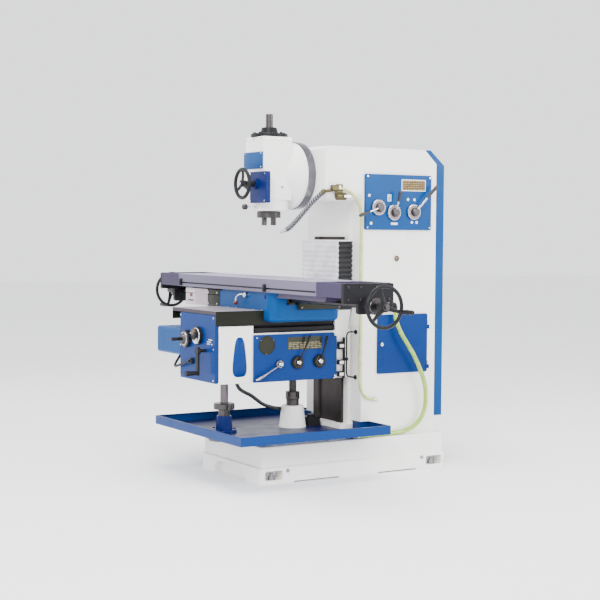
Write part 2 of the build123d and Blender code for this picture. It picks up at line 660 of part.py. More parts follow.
def knee_casting():
    front = KNEE_FRONT + COVER_THICK
    lower = block((-KNEE_X, KNEE_X), (front, KNEE_REAR), (KNEE_BOTTOM, KNEE_TOP))
    lower = fillet(lower.edges().filter_by(Axis.Z), 6)
    nose = block((-KNEE_X, KNEE_X), (front, -620), (KNEE_TOP - 1, 884))
    back = block((-205, 205), (KNEE_REAR - 1, WAY_BACK - 0.5), (KNEE_BOTTOM, 960))
    shape = lower + nose + back
    slide = [(-WAY_X - 0.2, WAY_FRONT - 0.2), (WAY_X + 0.2, WAY_FRONT - 0.2),
             (WAY_X - 15 + 0.2, WAY_BACK + 0.1), (-WAY_X + 15 - 0.2, WAY_BACK + 0.1)]
    shape -= prism_z(slide, (KNEE_BOTTOM - 1, 961))
    shape -= block((-190, 190), (-640, -85), (590, 812))
    shape -= block((-152, -88), (-600, -230), (800, KNEE_TOP + 1))
    shape -= rod(23 + RUN, (0, POST_Y, KNEE_BOTTOM - 1), (0, POST_Y, 792))
    shape -= rod(SCREW_R + RUN, (0, SCREW_Y, KNEE_BOTTOM - 1), (0, SCREW_Y, 600))
    cross = CROSS_AXIS
    shape -= rod(14 + RUN, (cross[0], front - 1, cross[1]), (cross[0], -600, cross[1]))
    for x, z in (SELECTOR_AXIS, CRANK_AXIS):
        shape -= rod(10 + RUN, (x, front - 1, z), (x, -760, z))
    for y, z in KNEE_LEVERS.values():
        shape -= rod(9 + RUN, (KNEE_X + 1, y, z), (KNEE_X - 60, y, z))
    return shape


def knee_ways():
    """Hardened cross ways on top of the knee."""
    outline = [(-200, 850), (-185, KNEE_TOP), (185, KNEE_TOP), (200, 850), (200, 868),
               (185, 876), (200, 905), (-200, 905), (-185, 876), (-200, 868)]
    face = Plane(origin=(0, -600, 0), x_dir=(1, 0, 0), z_dir=(0, -1, 0))
    sketch = face * make_face(Polyline(outline, close=True))
    shape = extrude(sketch, -(KNEE_REAR - 1 + 600))
    return shape - block((-152, -88), (-601, -230), (KNEE_TOP - 1, 906))


def gearbox_cover():
    y = (KNEE_FRONT, KNEE_FRONT + COVER_THICK)
    shape = soft_block((-218, 215), y, (567, 948), 10, Axis.Y)
    shape = fillet(shape.faces().sort_by(Axis.Y)[0].edges(), 4)
    for (x, z), radius in ((CROSS_AXIS, 14), (SELECTOR_AXIS, 10), (CRANK_AXIS, 10)):
        shape -= rod(radius + RUN, (x, y[0] - 1, z), (x, y[1] + 1, z))
    return shape


def knee_side_panel():
    outline = [(-620, KNEE_BOTTOM), (-86, KNEE_BOTTOM), (-62, KNEE_BOTTOM + 24),
               (-62, 808), (-86, 832), (-620, 832)]
    shape = prism_x(outline, (KNEE_X, KNEE_X + 14))
    shape = fillet(shape.faces().sort_by(Axis.X)[-1].edges(), 3)
    for y, z in KNEE_LEVERS.values():
        shape -= rod(9 + RUN, (KNEE_X - 1, y, z), (KNEE_X + 15, y, z))
    return shape


def side_pod():
    """Tapered cover on the side of the knee's front part."""
    outline = [(-756, 598), (-656, 598), (-681, 822), (-731, 822)]
    shape = prism_x(outline, (KNEE_X, KNEE_X + 20))
    shape = fillet(shape.edges().filter_by(Axis.X), 20)
    return fillet(shape.faces().sort_by(Axis.X)[-1].edges(), 9)


def feed_motor():
    body = soft_block((-545, -240), (-850, -650), (692, 848), 16, Axis.X, 4)
    flange = soft_block((-252, -KNEE_X), (-838, -640), (682, 858), 10, Axis.X)
    return body + flange


def limit_switches():
    """Travel switches on the knee's rear flank."""
    solids = []
    for low, high in ((569, 600), (640, 668), (730, 775)):
        switch = soft_block((205, 232), (-48, -10), (low, high), 4)
        solids.append(switch.solids()[0])
    return Compound(children=solids)


def knee_lever(hub, tip, radius):
    """Side lever: hub disc on a shaft into the knee, thin rod and end knob."""
    face = KNEE_X + 14 + GAP
    disc = rod(radius, (face, *hub), (face + 16, *hub))
    disc = chamfer(disc.edges().sort_by(Axis.X)[-1], 2)
    cap = rod(14, (face + 15, *hub), (face + 30, *hub))
    shaft = rod(9, (KNEE_X - 50, *hub), (face + 1, *hub))
    arm = rod(5, (face + 22, *hub), (face + 30, *tip))
    return disc + cap + shaft + arm + ball(9, (face + 30, *tip))


def cross_screw():
    """Cross-feed screw with its graduated dial and squared front end."""
    x, z = CROSS_AXIS
    face = KNEE_FRONT - GAP
    shape = rod(14, (x, -150, z), (x, face - 30, z))
    dial = rod(49, (x, face, z), (x, face - 24, z))
    dial = chamfer(dial.edges(), 2)
    hub = taper(34, 26, (x, face - 24, z), (x, face - 44, z))
    tip = block((x - 9, x + 9), (face - 108, face - 40), (z - 9, z + 9))
    return shape + dial + hub + tip


def feed_selector():
    x, z = SELECTOR_AXIS
    face = KNEE_FRONT - GAP
    dial = rod(51, (x, face, z), (x, face - 20, z))
    dial = chamfer(dial.edges(), 2)
    knob = rod(24, (x, face - 20, z), (x, face - 38, z))
    return dial + fillet(knob.edges().sort_by(Axis.Y)[0], 4) + rod(10, (x, face, z), (x, -765, z))


def elevating_crank():
    x, z = CRANK_AXIS
    face = KNEE_FRONT - GAP
    shaft = rod(10, (x, -765, z), (x, face - 50, z))
    hub = rod(22, (x, face - 58, z), (x, face - 40, z))
    arm = soft_block((x - 13, x + 13), (face - 56, face - 44), (z - 140, z + 13), 12, Axis.Y)
    grip = rod(7, (x, face - 50, z - 125), (x, face - 64, z - 125))
    grip += taper(12, 15, (x, face - 62, z - 125), (x, face - 125, z - 125))
    return shaft + hub + arm + grip


def elevating_screw():
    """Knee screw, its thrust collar and bevel wheel inside the knee."""
    low, high = 120, 640
    shape = turned(ring_thread(SCREW_R, 3, 8, low, 560), (0, SCREW_Y, 0), (0, 0, 1))
    shape += rod(SCREW_R, (0, SCREW_Y, 559), (0, SCREW_Y, high))
    shape += rod(40, (0, SCREW_Y, 590 + GAP), (0, SCREW_Y, 606))
    return shape + Pos(0, SCREW_Y, 616) * bevel_wheel(60, 48, 14, 10, 30)


# ---------------------------------------------------------------- saddle and table

def saddle_casting():
    """Saddle with its table dovetail and the table feed housing on its left end."""
    shape = block((-SADDLE_X, SADDLE_X), SADDLE_Y, SADDLE_Z)
    shape = fillet(shape.edges().filter_by(Axis.Z), 55)
    shape = fillet(shape.faces().sort_by(Axis.Z)[0].edges(), 26)
    groove = [(TABLE_MID_Y - 101, 1043.7), (TABLE_MID_Y + 101, 1043.7),
              (TABLE_MID_Y + 86, 1074), (TABLE_MID_Y - 86, 1074)]
    shape -= prism_x(groove, (-SADDLE_X - 1, SADDLE_X + 1))
    y, z = TABLE_SCREW
    shape -= block((-SADDLE_X - 1, SADDLE_X + 1), (y - 33, y + 33), (z - 30, 1050))
    housing = block((FEED_BOX_END, 60 - SADDLE_X), (SADDLE_Y[0], y - 44), (965, 1038))
    housing = fillet(housing.edges().filter_by(Axis.X).sort_by(Axis.Z)[:2], 10)
    lip = block((FEED_BOX_END, 60 - SADDLE_X), (SADDLE_Y[0], SADDLE_Y[0] + 26), (1030, 1064))
    return shape + housing + lip


def knee_apron():
    """Sheet cover over the knee's front, carried by the saddle."""
    top = block((-318, 221), (KNEE_FRONT, SADDLE_Y[0]), (958, 970))
    right = block((217, 221), (KNEE_FRONT, SADDLE_Y[0]), (890, 960))
    left = block((-318, -314), (KNEE_FRONT, SADDLE_Y[0]), (904, 960))
    lip = block((-318, 221), (KNEE_FRONT, KNEE_FRONT + 4), (950, 960))
    return top + right + left + lip


def feed_nuts():
    """Bronze nuts of the table screw and the cross screw."""
    y, z = TABLE_SCREW
    table_nut = block((-60, 60), (y - 33, y + 33), (z - 30, z + 24))
    table_nut -= rod(TABLE_SCREW_R + RUN, (-61, y, z), (61, y, z))
    x, cz = CROSS_AXIS
    cross_nut = block((x - 26, x + 26), (-380, -310), (772, SADDLE_Z[0]))
    cross_nut -= rod(14 + RUN, (x, -381, cz), (x, -309, cz))
    return Compound(children=[table_nut.solids()[0], cross_nut.solids()[0]])


def saddle_lock_lever():
    pivot = (25, SADDLE_Y[0], 1050)
    tip = (-45, SADDLE_Y[0] - 35, 1003)
    arm = rod(6, (pivot[0], pivot[1] - 12, pivot[2]), tip)
    knob = turned([(0, -15), (9, -11), (13, -4), (13, 4), (9, 11), (0, 15)], tip, (-70, -23, -47))
    hub = rod(16, (pivot[0], pivot[1] - GAP, pivot[2]), (pivot[0], pivot[1] - 20, pivot[2]))
    return hub + arm + knob


def table():
    """Work table with T-slots, end coolant troughs, stop groove and dovetail."""
    shape = block((-TABLE_X, TABLE_X), TABLE_Y, TABLE_Z)
    shape = fillet(shape.edges().filter_by(Axis.X), 3)
    rail = [(TABLE_MID_Y - 100.5, 1044), (TABLE_MID_Y + 100.5, 1044),
            (TABLE_MID_Y + 85.5, 1075), (TABLE_MID_Y - 85.5, 1075)]
    shape += prism_x(rail, (-WORK_X, WORK_X))
    y = TABLE_SCREW[0]
    shape -= block((-WORK_X - 1, WORK_X + 1), (y - 35, y + 35), (1040, 1062))
    for i in (-1, 0, 1):
        centre = TABLE_MID_Y + i * SLOT_PITCH
        x = (-WORK_X, WORK_X)
        shape -= block(x, (centre - SLOT_WIDTH / 2, centre + SLOT_WIDTH / 2), (1120, 1153))
        shape -= block(x, (centre - 15, centre + 15), (1120, 1134))
    for side in (-1, 1):
        trough = block((-95, 95), (TABLE_Y[0] + 25, TABLE_Y[1] - 25), (1128, 1153))
        shape -= Pos(side * (WORK_X + 110), 0, 0) * trough
    return shape - block((-780, 800), (TABLE_Y[0] - 1, TABLE_Y[0] + 9), (1092, 1102))


def table_end_brackets():
    """Bearing brackets that close both ends of the table."""
    y, z = TABLE_SCREW
    solids = []
    for side in (-1, 1):
        shape = block((TABLE_X, BRACKET_END), TABLE_Y, (1048, 1150))
        shape = fillet(shape.edges().filter_by(Axis.X), 6)
        bottom = 990 if side > 0 else 966
        shape += soft_block((TABLE_X, BRACKET_END), (y - 62, y + 46), (bottom, 1060), 14, Axis.X)
        shape += rod(42, (BRACKET_END - 1, y, z), (1118, y, z))
        shape -= rod(TABLE_SCREW_R + RUN, (TABLE_X - 1, y, z), (1119, y, z))
        if side < 0:
            shape = mirror(shape, Plane.YZ)
        solids.append(shape.solids()[0])
    return Compound(children=solids)


def table_screw():
    y, z = TABLE_SCREW
    shape = rod(TABLE_SCREW_R, (-1200, y, z), (1200, y, z))
    for side in (-1, 1):
        dial = rod(44, (side * (1118 + GAP), y, z), (side * 1150, y, z))
        shape += chamfer(dial.edges(), 2)
    return shape


def table_handwheels():
    """The two table handwheels, each with a turning grip on its rim."""
    y, z = TABLE_SCREW
    solids = []
    for side in (-1, 1):
        wheel = spoked_wheel(WHEEL_R, 10, 26, 50, 3, 17, 105)
        wheel += Pos(0, 0, -25) * Cylinder(30, 20)
        seat = Plane(origin=(side * WHEEL_X, y, z), x_dir=(0, 1, 0), z_dir=(side, 0, 0))
        angle = radians(GRIP_AT[side])
        grip = Vector(WHEEL_R * cos(angle), WHEEL_R * sin(angle), 0)
        wheel += Pos(*grip) * Pos(0, 0, 22) * Cylinder(6, 30)
        wheel += Pos(*grip) * Pos(0, 0, 70) * Cone(11, 14, 80)
        shape = seat * wheel
        shape -= rod(TABLE_SCREW_R, (side * 1100, y, z), (side * 1200, y, z))
        solids.append(shape.solids()[0])
    return Compound(children=solids)


def build():
    os.makedirs("parts", exist_ok=True)
    makers = [base_casting, drip_tray, screw_pedestal, elevating_nut, support_post, post_clamp,
              post_boss, column_casting, column_ways, rear_cover, gear_panel, side_door,
              way_bellows, swivel_ring, main_motor, motor_pulley, drive_belt, overarm_shaft,
              coolant_valve, coolant_tap, coolant_pump, hose_fittings, head_casting, feed_box,
              bearing_flange, quill_handwheel, quill_clamp_knob, quill, spindle_bearings,
              spindle, spindle_gear, knee_casting, knee_ways, gearbox_cover, knee_side_panel,
              side_pod, feed_motor, limit_switches, cross_screw, feed_selector,
              elevating_crank, elevating_screw, saddle_casting, knee_apron, feed_nuts,
              saddle_lock_lever, table, table_end_brackets, table_screw, table_handwheels]
    for maker in makers:
        save(maker.__name__, maker())
    for name, (hub, tip) in GEAR_LEVERS.items():
        save(f"gear_lever_{name}", gear_lever(hub, tip))
    knee_tips = {"left": (-610, 582), "middle": (-268, 816), "right": (-150, 808)}
    for name, hub in KNEE_LEVERS.items():
        save(f"knee_lever_{name}", knee_lever(hub, knee_tips[name], 24 if name == "left" else 38))
    hoses = {"supply_hose": (SUPPLY_ROUTE, SUPPLY_R), "return_hose": (RETURN_ROUTE, RETURN_R),
             "cable_conduit": (CONDUIT_ROUTE, CONDUIT_R), "coolant_gooseneck": (NECK_ROUTE, NECK_R)}
    for name, (route, radius) in hoses.items():
        save(name, hose(name, route, radius))


build()
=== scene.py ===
"""Looks of the vertical milling machine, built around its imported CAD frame. Metres, +Z up."""

import json
import math

import bmesh
import bpy
from mathutils import Matrix, Vector


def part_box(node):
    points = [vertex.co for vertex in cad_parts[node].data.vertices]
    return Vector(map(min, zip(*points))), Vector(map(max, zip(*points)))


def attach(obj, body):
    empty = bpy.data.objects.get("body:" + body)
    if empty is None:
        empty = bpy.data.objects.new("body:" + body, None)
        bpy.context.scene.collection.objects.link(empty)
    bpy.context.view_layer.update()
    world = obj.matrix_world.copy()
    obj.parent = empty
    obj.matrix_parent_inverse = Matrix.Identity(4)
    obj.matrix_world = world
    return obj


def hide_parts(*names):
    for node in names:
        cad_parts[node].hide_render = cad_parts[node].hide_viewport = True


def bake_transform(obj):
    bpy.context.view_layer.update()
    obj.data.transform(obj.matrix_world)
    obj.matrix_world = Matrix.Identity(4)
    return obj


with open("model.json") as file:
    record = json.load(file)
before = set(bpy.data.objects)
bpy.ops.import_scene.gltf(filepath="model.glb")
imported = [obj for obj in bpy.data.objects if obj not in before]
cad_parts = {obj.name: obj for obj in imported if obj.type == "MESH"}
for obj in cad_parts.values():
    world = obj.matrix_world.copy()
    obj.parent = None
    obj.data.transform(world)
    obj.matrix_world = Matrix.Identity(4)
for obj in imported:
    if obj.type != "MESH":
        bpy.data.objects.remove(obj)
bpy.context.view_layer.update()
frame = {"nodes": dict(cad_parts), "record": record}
NODES = frame["nodes"]

RIGHT = (1, 0, 0)
FRONT = (0, -1, 0)
UP = (0, 0, 1)

# Places taken from the CAD frame, in metres
WAY_FRONT = 0.019
WHEEL_X = 1.217
WHEEL_RIM = 0.106
GRIP_TURN = {-1: 104, 1: -14}
SCREW_Y = -0.424
SCREW_Z = 1.034
QUILL_WHEEL = (0.075, -0.616, 1.689)
HEAD_FRONT = -0.498
HEAD_SIDE = 0.1105
SWIVEL_Z = 1.745
GEARBOX_FACE = -0.8623
SADDLE_FRONT = -0.555
CLUTCH_PORT = (-0.538, 0.772)
FEED_PLATE_Y = (-0.396, -0.171)
COLUMN_SIDE = 0.304
PANEL_FACE = 0.318
DOOR_FACE = 0.316
KNEE_PANEL = 0.229
CROSS_DIAL = (-0.120, 0.798)
SELECTOR = (0.019, 0.824)
LOCK_PIVOT = (0.025, -0.555, 1.050)
GEAR_LEVERS = {"left": ((0.158, 1.562), (0.004, 1.514)),
               "middle": ((0.269, 1.534), (0.287, 1.652)),
               "right": ((0.414, 1.539), (0.553, 1.693))}
KNEE_LEVERS = {"left": ((-0.456, 0.662), (-0.610, 0.582), 0.024),
               "middle": ((-0.336, 0.667), (-0.268, 0.816), 0.038),
               "right": ((-0.188, 0.668), (-0.150, 0.808), 0.038)}


# ---- camera, floor and light

CAMERA_AT = Vector((6.813, -4.392, 1.397))
CAMERA_YAW = math.radians(31.74)
CAMERA_PITCH = math.radians(2.75)
CAMERA_ROLL = math.radians(0.40)
CAMERA_LENS = 80.94


def add_camera():
    """Camera at the three-quarter view from the operator's right."""
    forward = Vector((-math.cos(CAMERA_YAW) * math.cos(CAMERA_PITCH),
                      math.sin(CAMERA_YAW) * math.cos(CAMERA_PITCH),
                      -math.sin(CAMERA_PITCH)))
    right = forward.cross(Vector(UP)).normalized()
    up = right.cross(forward)
    turn_right = math.cos(CAMERA_ROLL) * right + math.sin(CAMERA_ROLL) * up
    turn_up = math.cos(CAMERA_ROLL) * up - math.sin(CAMERA_ROLL) * right
    data = bpy.data.cameras.new("camera")
    data.lens = CAMERA_LENS
    data.sensor_width = 36
    data.clip_end = 60
    camera = bpy.data.objects.new("camera", data)
    basis = Matrix((turn_right, turn_up, -forward)).transposed().to_4x4()
    camera.matrix_world = Matrix.Translation(CAMERA_AT) @ basis
    bpy.context.scene.collection.objects.link(camera)
    bpy.context.scene.camera = camera


def add_area_light(name, at, target, size, power, color=(1, 1, 1)):
    data = bpy.data.lights.new(name, "AREA")
    data.shape = "RECTANGLE"
    data.size = size[0]
    data.size_y = size[1]
    data.energy = power
    data.color = color
    light = bpy.data.objects.new(name, data)
    light.location = at
    aim = Vector(target) - Vector(at)
    light.rotation_euler = aim.to_track_quat("-Z", "Y").to_euler()
    bpy.context.scene.collection.objects.link(light)


def add_studio():
    """Pale floor, pale surroundings and broad soft lights."""
    bpy.ops.mesh.primitive_plane_add(size=60, location=(0, 0, -0.0005))
    floor = bpy.context.object
    floor.name = "floor"
    shade = bpy.data.materials.new("floor")
    shade.use_nodes = True
    shader = shade.node_tree.nodes["Principled BSDF"]
    shader.inputs["Base Color"].default_value = (0.93, 0.93, 0.93, 1)
    shader.inputs["Roughness"].default_value = 0.9
    floor.data.materials.append(shade)
    world = bpy.data.worlds.new("studio")
    world.use_nodes = True
    world.node_tree.nodes["Background"].inputs[0].default_value = (0.96, 0.97, 1.0, 1)
    world.node_tree.nodes["Background"].inputs[1].default_value = 1.9
    bpy.context.scene.world = world
    add_area_light("key", (5.5, -5.5, 5.0), (0, 0, 1.0), (2.4, 2.4), 640)
    add_area_light("side", (5.0, 3.5, 3.0), (0, 0.2, 1.0), (2.5, 2.5), 210)
    add_area_light("front", (-4.5, -5.0, 3.0), (0, -0.3, 1.0), (3.0, 2.5), 80)
    add_area_light("top", (0.5, -0.5, 6.0), (0, 0, 0.5), (3.0, 3.0), 360)


# ---- materials

class Shade:
    """A Principled material with helpers for procedural inputs in object space."""

    def __init__(self, name, color, roughness, metallic=0.0):
        self.material = bpy.data.materials.new(name)
        self.material.use_nodes = True
        self.tree = self.material.node_tree
        self.shader = self.tree.nodes["Principled BSDF"]
        self.shader.inputs["Metallic"].default_value = metallic
        self.shader.inputs["Roughness"].default_value = roughness
        self.shader.inputs["Base Color"].default_value = (*color, 1)
        self.color = color
        self.place = self.tree.nodes.new("ShaderNodeTexCoord").outputs["Object"]

    def link(self, out, target):
        self.tree.links.new(out, target)

    def node(self, kind, linked, into, **settings):
        """New node with its plain inputs set and one input linked."""
        node = self.tree.nodes.new("ShaderNode" + kind)
        for name, value in settings.items():
            node.inputs[name.replace("_", " ")].default_value = value
        self.link(linked, node.inputs[into])
        return node

    def stretched(self, scale):
        return self.node("Mapping", self.place, "Vector", Scale=scale).outputs["Vector"]

    def noise(self, scale, detail=4.0, rough=0.55, place=None):
        place = self.place if place is None else place
        return self.node("TexNoise", place, "Vector", Scale=scale, Detail=detail,
                         Roughness=rough).outputs["Fac"]

    def remap(self, value, low, high, to_low, to_high):
        return self.node("MapRange", value, "Value", From_Min=low, From_Max=high,
                         To_Min=to_low, To_Max=to_high).outputs["Result"]

    def mix(self, fac, first, second):
        node = self.tree.nodes.new("ShaderNodeMix")
        node.data_type = "RGBA"
        self.link(fac, node.inputs[0])
        for socket, value in ((node.inputs[6], first), (node.inputs[7], second)):
            if isinstance(value, tuple):
                socket.default_value = (*value, 1)
            else:
                self.link(value, socket)
        return node.outputs[2]

    def base(self, color_out):
        self.link(color_out, self.shader.inputs["Base Color"])

    def roughness(self, out):
        self.link(out, self.shader.inputs["Roughness"])

    def bump(self, height, strength, distance):
        node = self.node("Bump", height, "Height", Strength=strength, Distance=distance)
        self.link(node.outputs["Normal"], self.shader.inputs["Normal"])


def tone(color, factor):
    return tuple(min(1.0, max(0.0, c * factor)) for c in color)


def paint(name, color, roughness=0.32, grime=0.10, cast=0.0, sheen=0.13):
    """Machine enamel: faint mottling, orange peel, dull patches; cast adds a lumpier skin."""
    shade = Shade(name, color, roughness)
    cloud = shade.remap(shade.noise(2.6, 6), 0.3, 0.7, 0.0, 1.0)
    body = shade.mix(cloud, tone(color, 1.0 + 0.3 * grime), tone(color, 1.0 - 0.6 * grime))
    speck = shade.remap(shade.noise(95, 3), 0.62, 0.78, 0.0, 0.35)
    shade.base(shade.mix(speck, body, tone(color, 1.0 - grime)))
    shade.roughness(shade.remap(shade.noise(7, 5), 0.3, 0.7, roughness - 0.06, roughness + 0.10))
    peel = shade.noise(260 if not cast else 120, 2 if not cast else 6, 0.5)
    shade.bump(peel, 0.12 + 0.3 * cast, 0.0006 + 0.0012 * cast)
    shade.shader.inputs["Specular IOR Level"].default_value = sheen
    return shade.material


def shade_by_facing(name, top, front, side, roughness=0.34, ends=None):
    """Painted sheet whose top, front and side faces take different tones as painted light and shade, by the
    way each face looks; ends, when given, is (a distance in x, a tone), and past that |x| the surface takes
    that tone.
    """
    shade = Shade(name, top, roughness)
    shape = shade.tree.nodes.new("ShaderNodeNewGeometry")
    # Up-facing faces take the top tone, +X-facing faces the side tone and the rest the front tone: painted
    # light and shade.
    facing = shade.node("SeparateXYZ", shape.outputs["Normal"], 0)
    up = shade.remap(facing.outputs["Z"], 0.4, 0.8, 0.0, 1.0)
    out = shade.remap(facing.outputs["X"], 0.4, 0.8, 0.0, 1.0)
    cloud = shade.remap(shade.noise(6, 5), 0.3, 0.7, 0.0, 1.0)
    sides = shade.mix(out, front, side)
    both = shade.mix(up, sides, shade.mix(cloud, tone(top, 1.12), tone(top, 0.86)))
    if ends:
        place = shade.node("SeparateXYZ", shade.place, 0)
        span = shade.node("Math", place.outputs["X"], 0)
        span.operation = "ABSOLUTE"
        both = shade.mix(shade.remap(span.outputs[0], ends[0], ends[0] + 0.01, 0.0, 1.0), both, ends[1])
    shade.base(both)
    shade.roughness(shade.remap(shade.noise(9, 4), 0.3, 0.7, roughness - 0.06, roughness + 0.08))
    shade.bump(shade.noise(220, 3), 0.12, 0.0006)
    shade.shader.inputs["Specular IOR Level"].default_value = 0.15
    return shade.material


def metal(name, color, roughness, streak=(1, 1, 40), grain=60.0, contrast=0.12):
    """Machined metal: fine directional tool marks, slight staining, varying polish."""
    shade = Shade(name, color, roughness, 1.0)
    lines = shade.noise(grain, 3, 0.6, shade.stretched(streak))
    stain = shade.remap(shade.noise(9, 6), 0.35, 0.7, 0.0, 1.0)
    worn = shade.mix(stain, tone(color, 1.0 + 0.5 * contrast), tone(color, 1.0 - contrast))
    shade.base(shade.mix(shade.remap(lines, 0.4, 0.6, 0.0, 0.6), worn, tone(color, 1 - 1.4 * contrast)))
    shade.roughness(shade.remap(lines, 0.3, 0.7, max(0.03, roughness - 0.05), roughness + 0.08))
    shade.bump(lines, 0.08, 0.0004)
    return shade.material


def plastic(name, color, roughness=0.45, grain=300.0):
    """Moulded plastic or rubber with a fine grain and slight tone changes."""
    shade = Shade(name, color, roughness)
    tint = shade.remap(shade.noise(14, 4), 0.3, 0.7, 0.0, 1.0)
    shade.base(shade.mix(tint, tone(color, 1.25), tone(color, 0.8)))
    shade.roughness(shade.remap(shade.noise(25, 4), 0.3, 0.7, roughness - 0.07, roughness + 0.08))
    shade.bump(shade.noise(grain, 3), 0.15, 0.0004)
    return shade.material


def hose_plastic(name, color):
    """Glossy see-through hose wall with slight waviness."""
    shade = Shade(name, color, 0.16)
    tint = shade.remap(shade.noise(30, 3), 0.3, 0.7, 0.0, 1.0)
    shade.base(shade.mix(tint, tone(color, 1.25), tone(color, 0.85)))
    shade.bump(shade.noise(90, 2), 0.1, 0.0006)
    shade.shader.inputs["Coat Weight"].default_value = 0.6
    shade.shader.inputs["Coat Roughness"].default_value = 0.06
    shade.shader.inputs["Subsurface Weight"].default_value = 0.25
    shade.shader.inputs["Subsurface Radius"].default_value = (0.01, 0.012, 0.008)
    return shade.material


CREAM = (0.90, 0.885, 0.85)
BLUE = (0.0003, 0.026, 0.145)
BLACK = (0.012, 0.012, 0.014)

LOOKS = {
    "cream_paint": paint("cream enamel", CREAM, 0.36, 0.07, cast=0.30),
    "blue_paint": paint("blue enamel", BLUE, 0.30, 0.16),
    "bright_blue": paint("bright blue enamel", (0.0003, 0.050, 0.190), 0.32, 0.14),
    "violet_blue": paint("violet blue enamel", (0.003, 0.012, 0.095), 0.32, 0.18),
    # Tray: the darker navy on up-facing faces and the brighter blue on the walls are painted light and
    # shade.
    "tray_paint": shade_by_facing("tray enamel", (0.005, 0.008, 0.060), (0.0005, 0.030, 0.150),
                        (0.0005, 0.032, 0.155)),
    # Knee apron: the pale top, dark front and near-black side are painted light and shade.
    "apron_sheet": shade_by_facing("apron sheet", (0.22, 0.20, 0.23), (0.040, 0.030, 0.042), (0.009, 0.010, 0.006)),
    "ring_chrome": metal("scale ring chrome", (0.16, 0.16, 0.18), 0.16, (1, 40, 1), 30, 0.2),
    # Column way iron: its near-black tone is painted shade on the ways.
    "way_iron_in_shade": metal("scraped way iron", (0.045, 0.038, 0.038), 0.46, (1, 1, 30), 40, 0.25),
    "black_paint": paint("black enamel", (0.012, 0.012, 0.014), 0.36, 0.2),
    "ground_steel": metal("ground steel", (0.30, 0.29, 0.32), 0.30, (1, 1, 30)),
    "mauve_steel": metal("post steel", (0.135, 0.115, 0.130), 0.30, (1, 1, 30)),
    "dark_steel": metal("dark steel", (0.085, 0.078, 0.080), 0.34, (1, 1, 20), 40, 0.2),
    # Table: the lavender top, darker front and darkest +X-facing faces are painted light and shade; past |x|
    # = 0.8 it takes a darker violet.
    "table_iron": shade_by_facing("ground table iron", (0.30, 0.28, 0.37), (0.135, 0.120, 0.180), (0.05, 0.045, 0.06),
                        0.42, (0.800, (0.040, 0.031, 0.068))),
    "chrome": metal("chrome", (0.72, 0.73, 0.77), 0.10, (1, 1, 1), 20, 0.05),
    "dark_chrome": metal("dark chrome", (0.15, 0.15, 0.165), 0.18, (1, 1, 1), 20, 0.12),
    "satin_chrome": metal("satin chrome", (0.34, 0.33, 0.36), 0.24, (1, 1, 1), 30, 0.08),
    "black_iron": paint("black castings", BLACK, 0.32, 0.3, cast=0.2),
    "olive_black": paint("olive black castings", (0.020, 0.021, 0.014), 0.34, 0.25, cast=0.2),
    "black_plastic": plastic("black plastic", (0.012, 0.012, 0.013), 0.40),
    "brown_plastic": plastic("brown plastic", (0.075, 0.040, 0.025), 0.35),
    "dark_red": plastic("dark red plastic", (0.095, 0.012, 0.012), 0.28),
    # Black for the way cover's sides: painted shade.
    "rubber_black": plastic("black bellows sides as painted shade", (0.020, 0.020, 0.022), 0.62),
    "bronze": metal("bronze", (0.110, 0.092, 0.045), 0.34, (1, 1, 20), 50, 0.22),
    "hose_green": hose_plastic("green hose", (0.30, 0.42, 0.16)),
    "supply_hose_wall": hose_plastic("pale green hose", (0.46, 0.50, 0.15)),
    "return_hose_wall": hose_plastic("yellow green hose", (0.27, 0.42, 0.045)),
    "pleat_cloth": plastic("pleated cover cloth", (0.80, 0.79, 0.80), 0.6),
    "cover_sheet": paint("grey cover sheet", (0.46, 0.45, 0.48), 0.30, 0.15),
    "screw_cover": paint("pinkish grey sheet", (0.52, 0.46, 0.49), 0.34, 0.14),
    "dial_face": paint("dial faces", (0.30, 0.235, 0.24), 0.38, 0.25),
    "label_grey": paint("grey labels", (0.42, 0.42, 0.45), 0.40, 0.10),
    "label_white": paint("white labels", (0.82, 0.82, 0.82), 0.40, 0.06),
    "plate_brown": metal("bronze tinted plate", (0.10, 0.065, 0.030), 0.36, (1, 30, 1), 40, 0.2),
    "plate_grey": metal("etched plate", (0.055, 0.055, 0.040), 0.38, (1, 30, 1), 40, 0.1),
    "plate_line": paint("plate print", (0.27, 0.225, 0.13), 0.42, 0.1),
    "oil_glass": plastic("oily glass", (0.16, 0.10, 0.03), 0.10, 40.0),
}


# Nodes whose finish differs from the rest of their slot
NODE_LOOKS = {"spindle": "dark_steel", "swivel_ring": "ring_chrome", "column_ways": "way_iron_in_shade",
              "drip_tray": "tray_paint", "knee_apron": "apron_sheet", "table_screw": "dark_steel",
              "cross_screw": "dark_steel", "elevating_crank": "black_iron", "feed_box": "violet_blue",
              "support_post": "mauve_steel", "post_boss": "violet_blue", "post_clamp": "dark_steel",
              "elevating_screw": "dark_steel", "elevating_nut": "dark_steel", "knee_ways": "black_iron",
              "gear_panel": "bright_blue", "rear_cover": "bright_blue", "feed_motor": "bright_blue",
              "limit_switches": "black_paint", "saddle_casting": "bright_blue"}


def paint_frame():
    """Gives every CAD node the look of its material slot, or its own finish."""
    for entry in frame["record"]["subparts"]:
        obj = NODES[entry["node"]]
        obj.data.materials.clear()
        obj.data.materials.append(LOOKS[NODE_LOOKS.get(entry["node"], entry["material_slot"])])


# ---- mesh helpers

def axes_for(direction, up=None):
    """Rotation whose +Z points along direction, and whose +X is close to up when given."""
    z = Vector(direction).normalized()
    x = Vector(up) if up else (Vector(UP) if abs(z.z) < 0.9 else Vector(RIGHT))
    x = (x - x.dot(z) * z).normalized()
    return Matrix((x, z.cross(x), z)).transposed()


def placed(points, at, direction, up=None):
    turn = axes_for(direction, up)
    return [Vector(at) + turn @ Vector(p) for p in points]


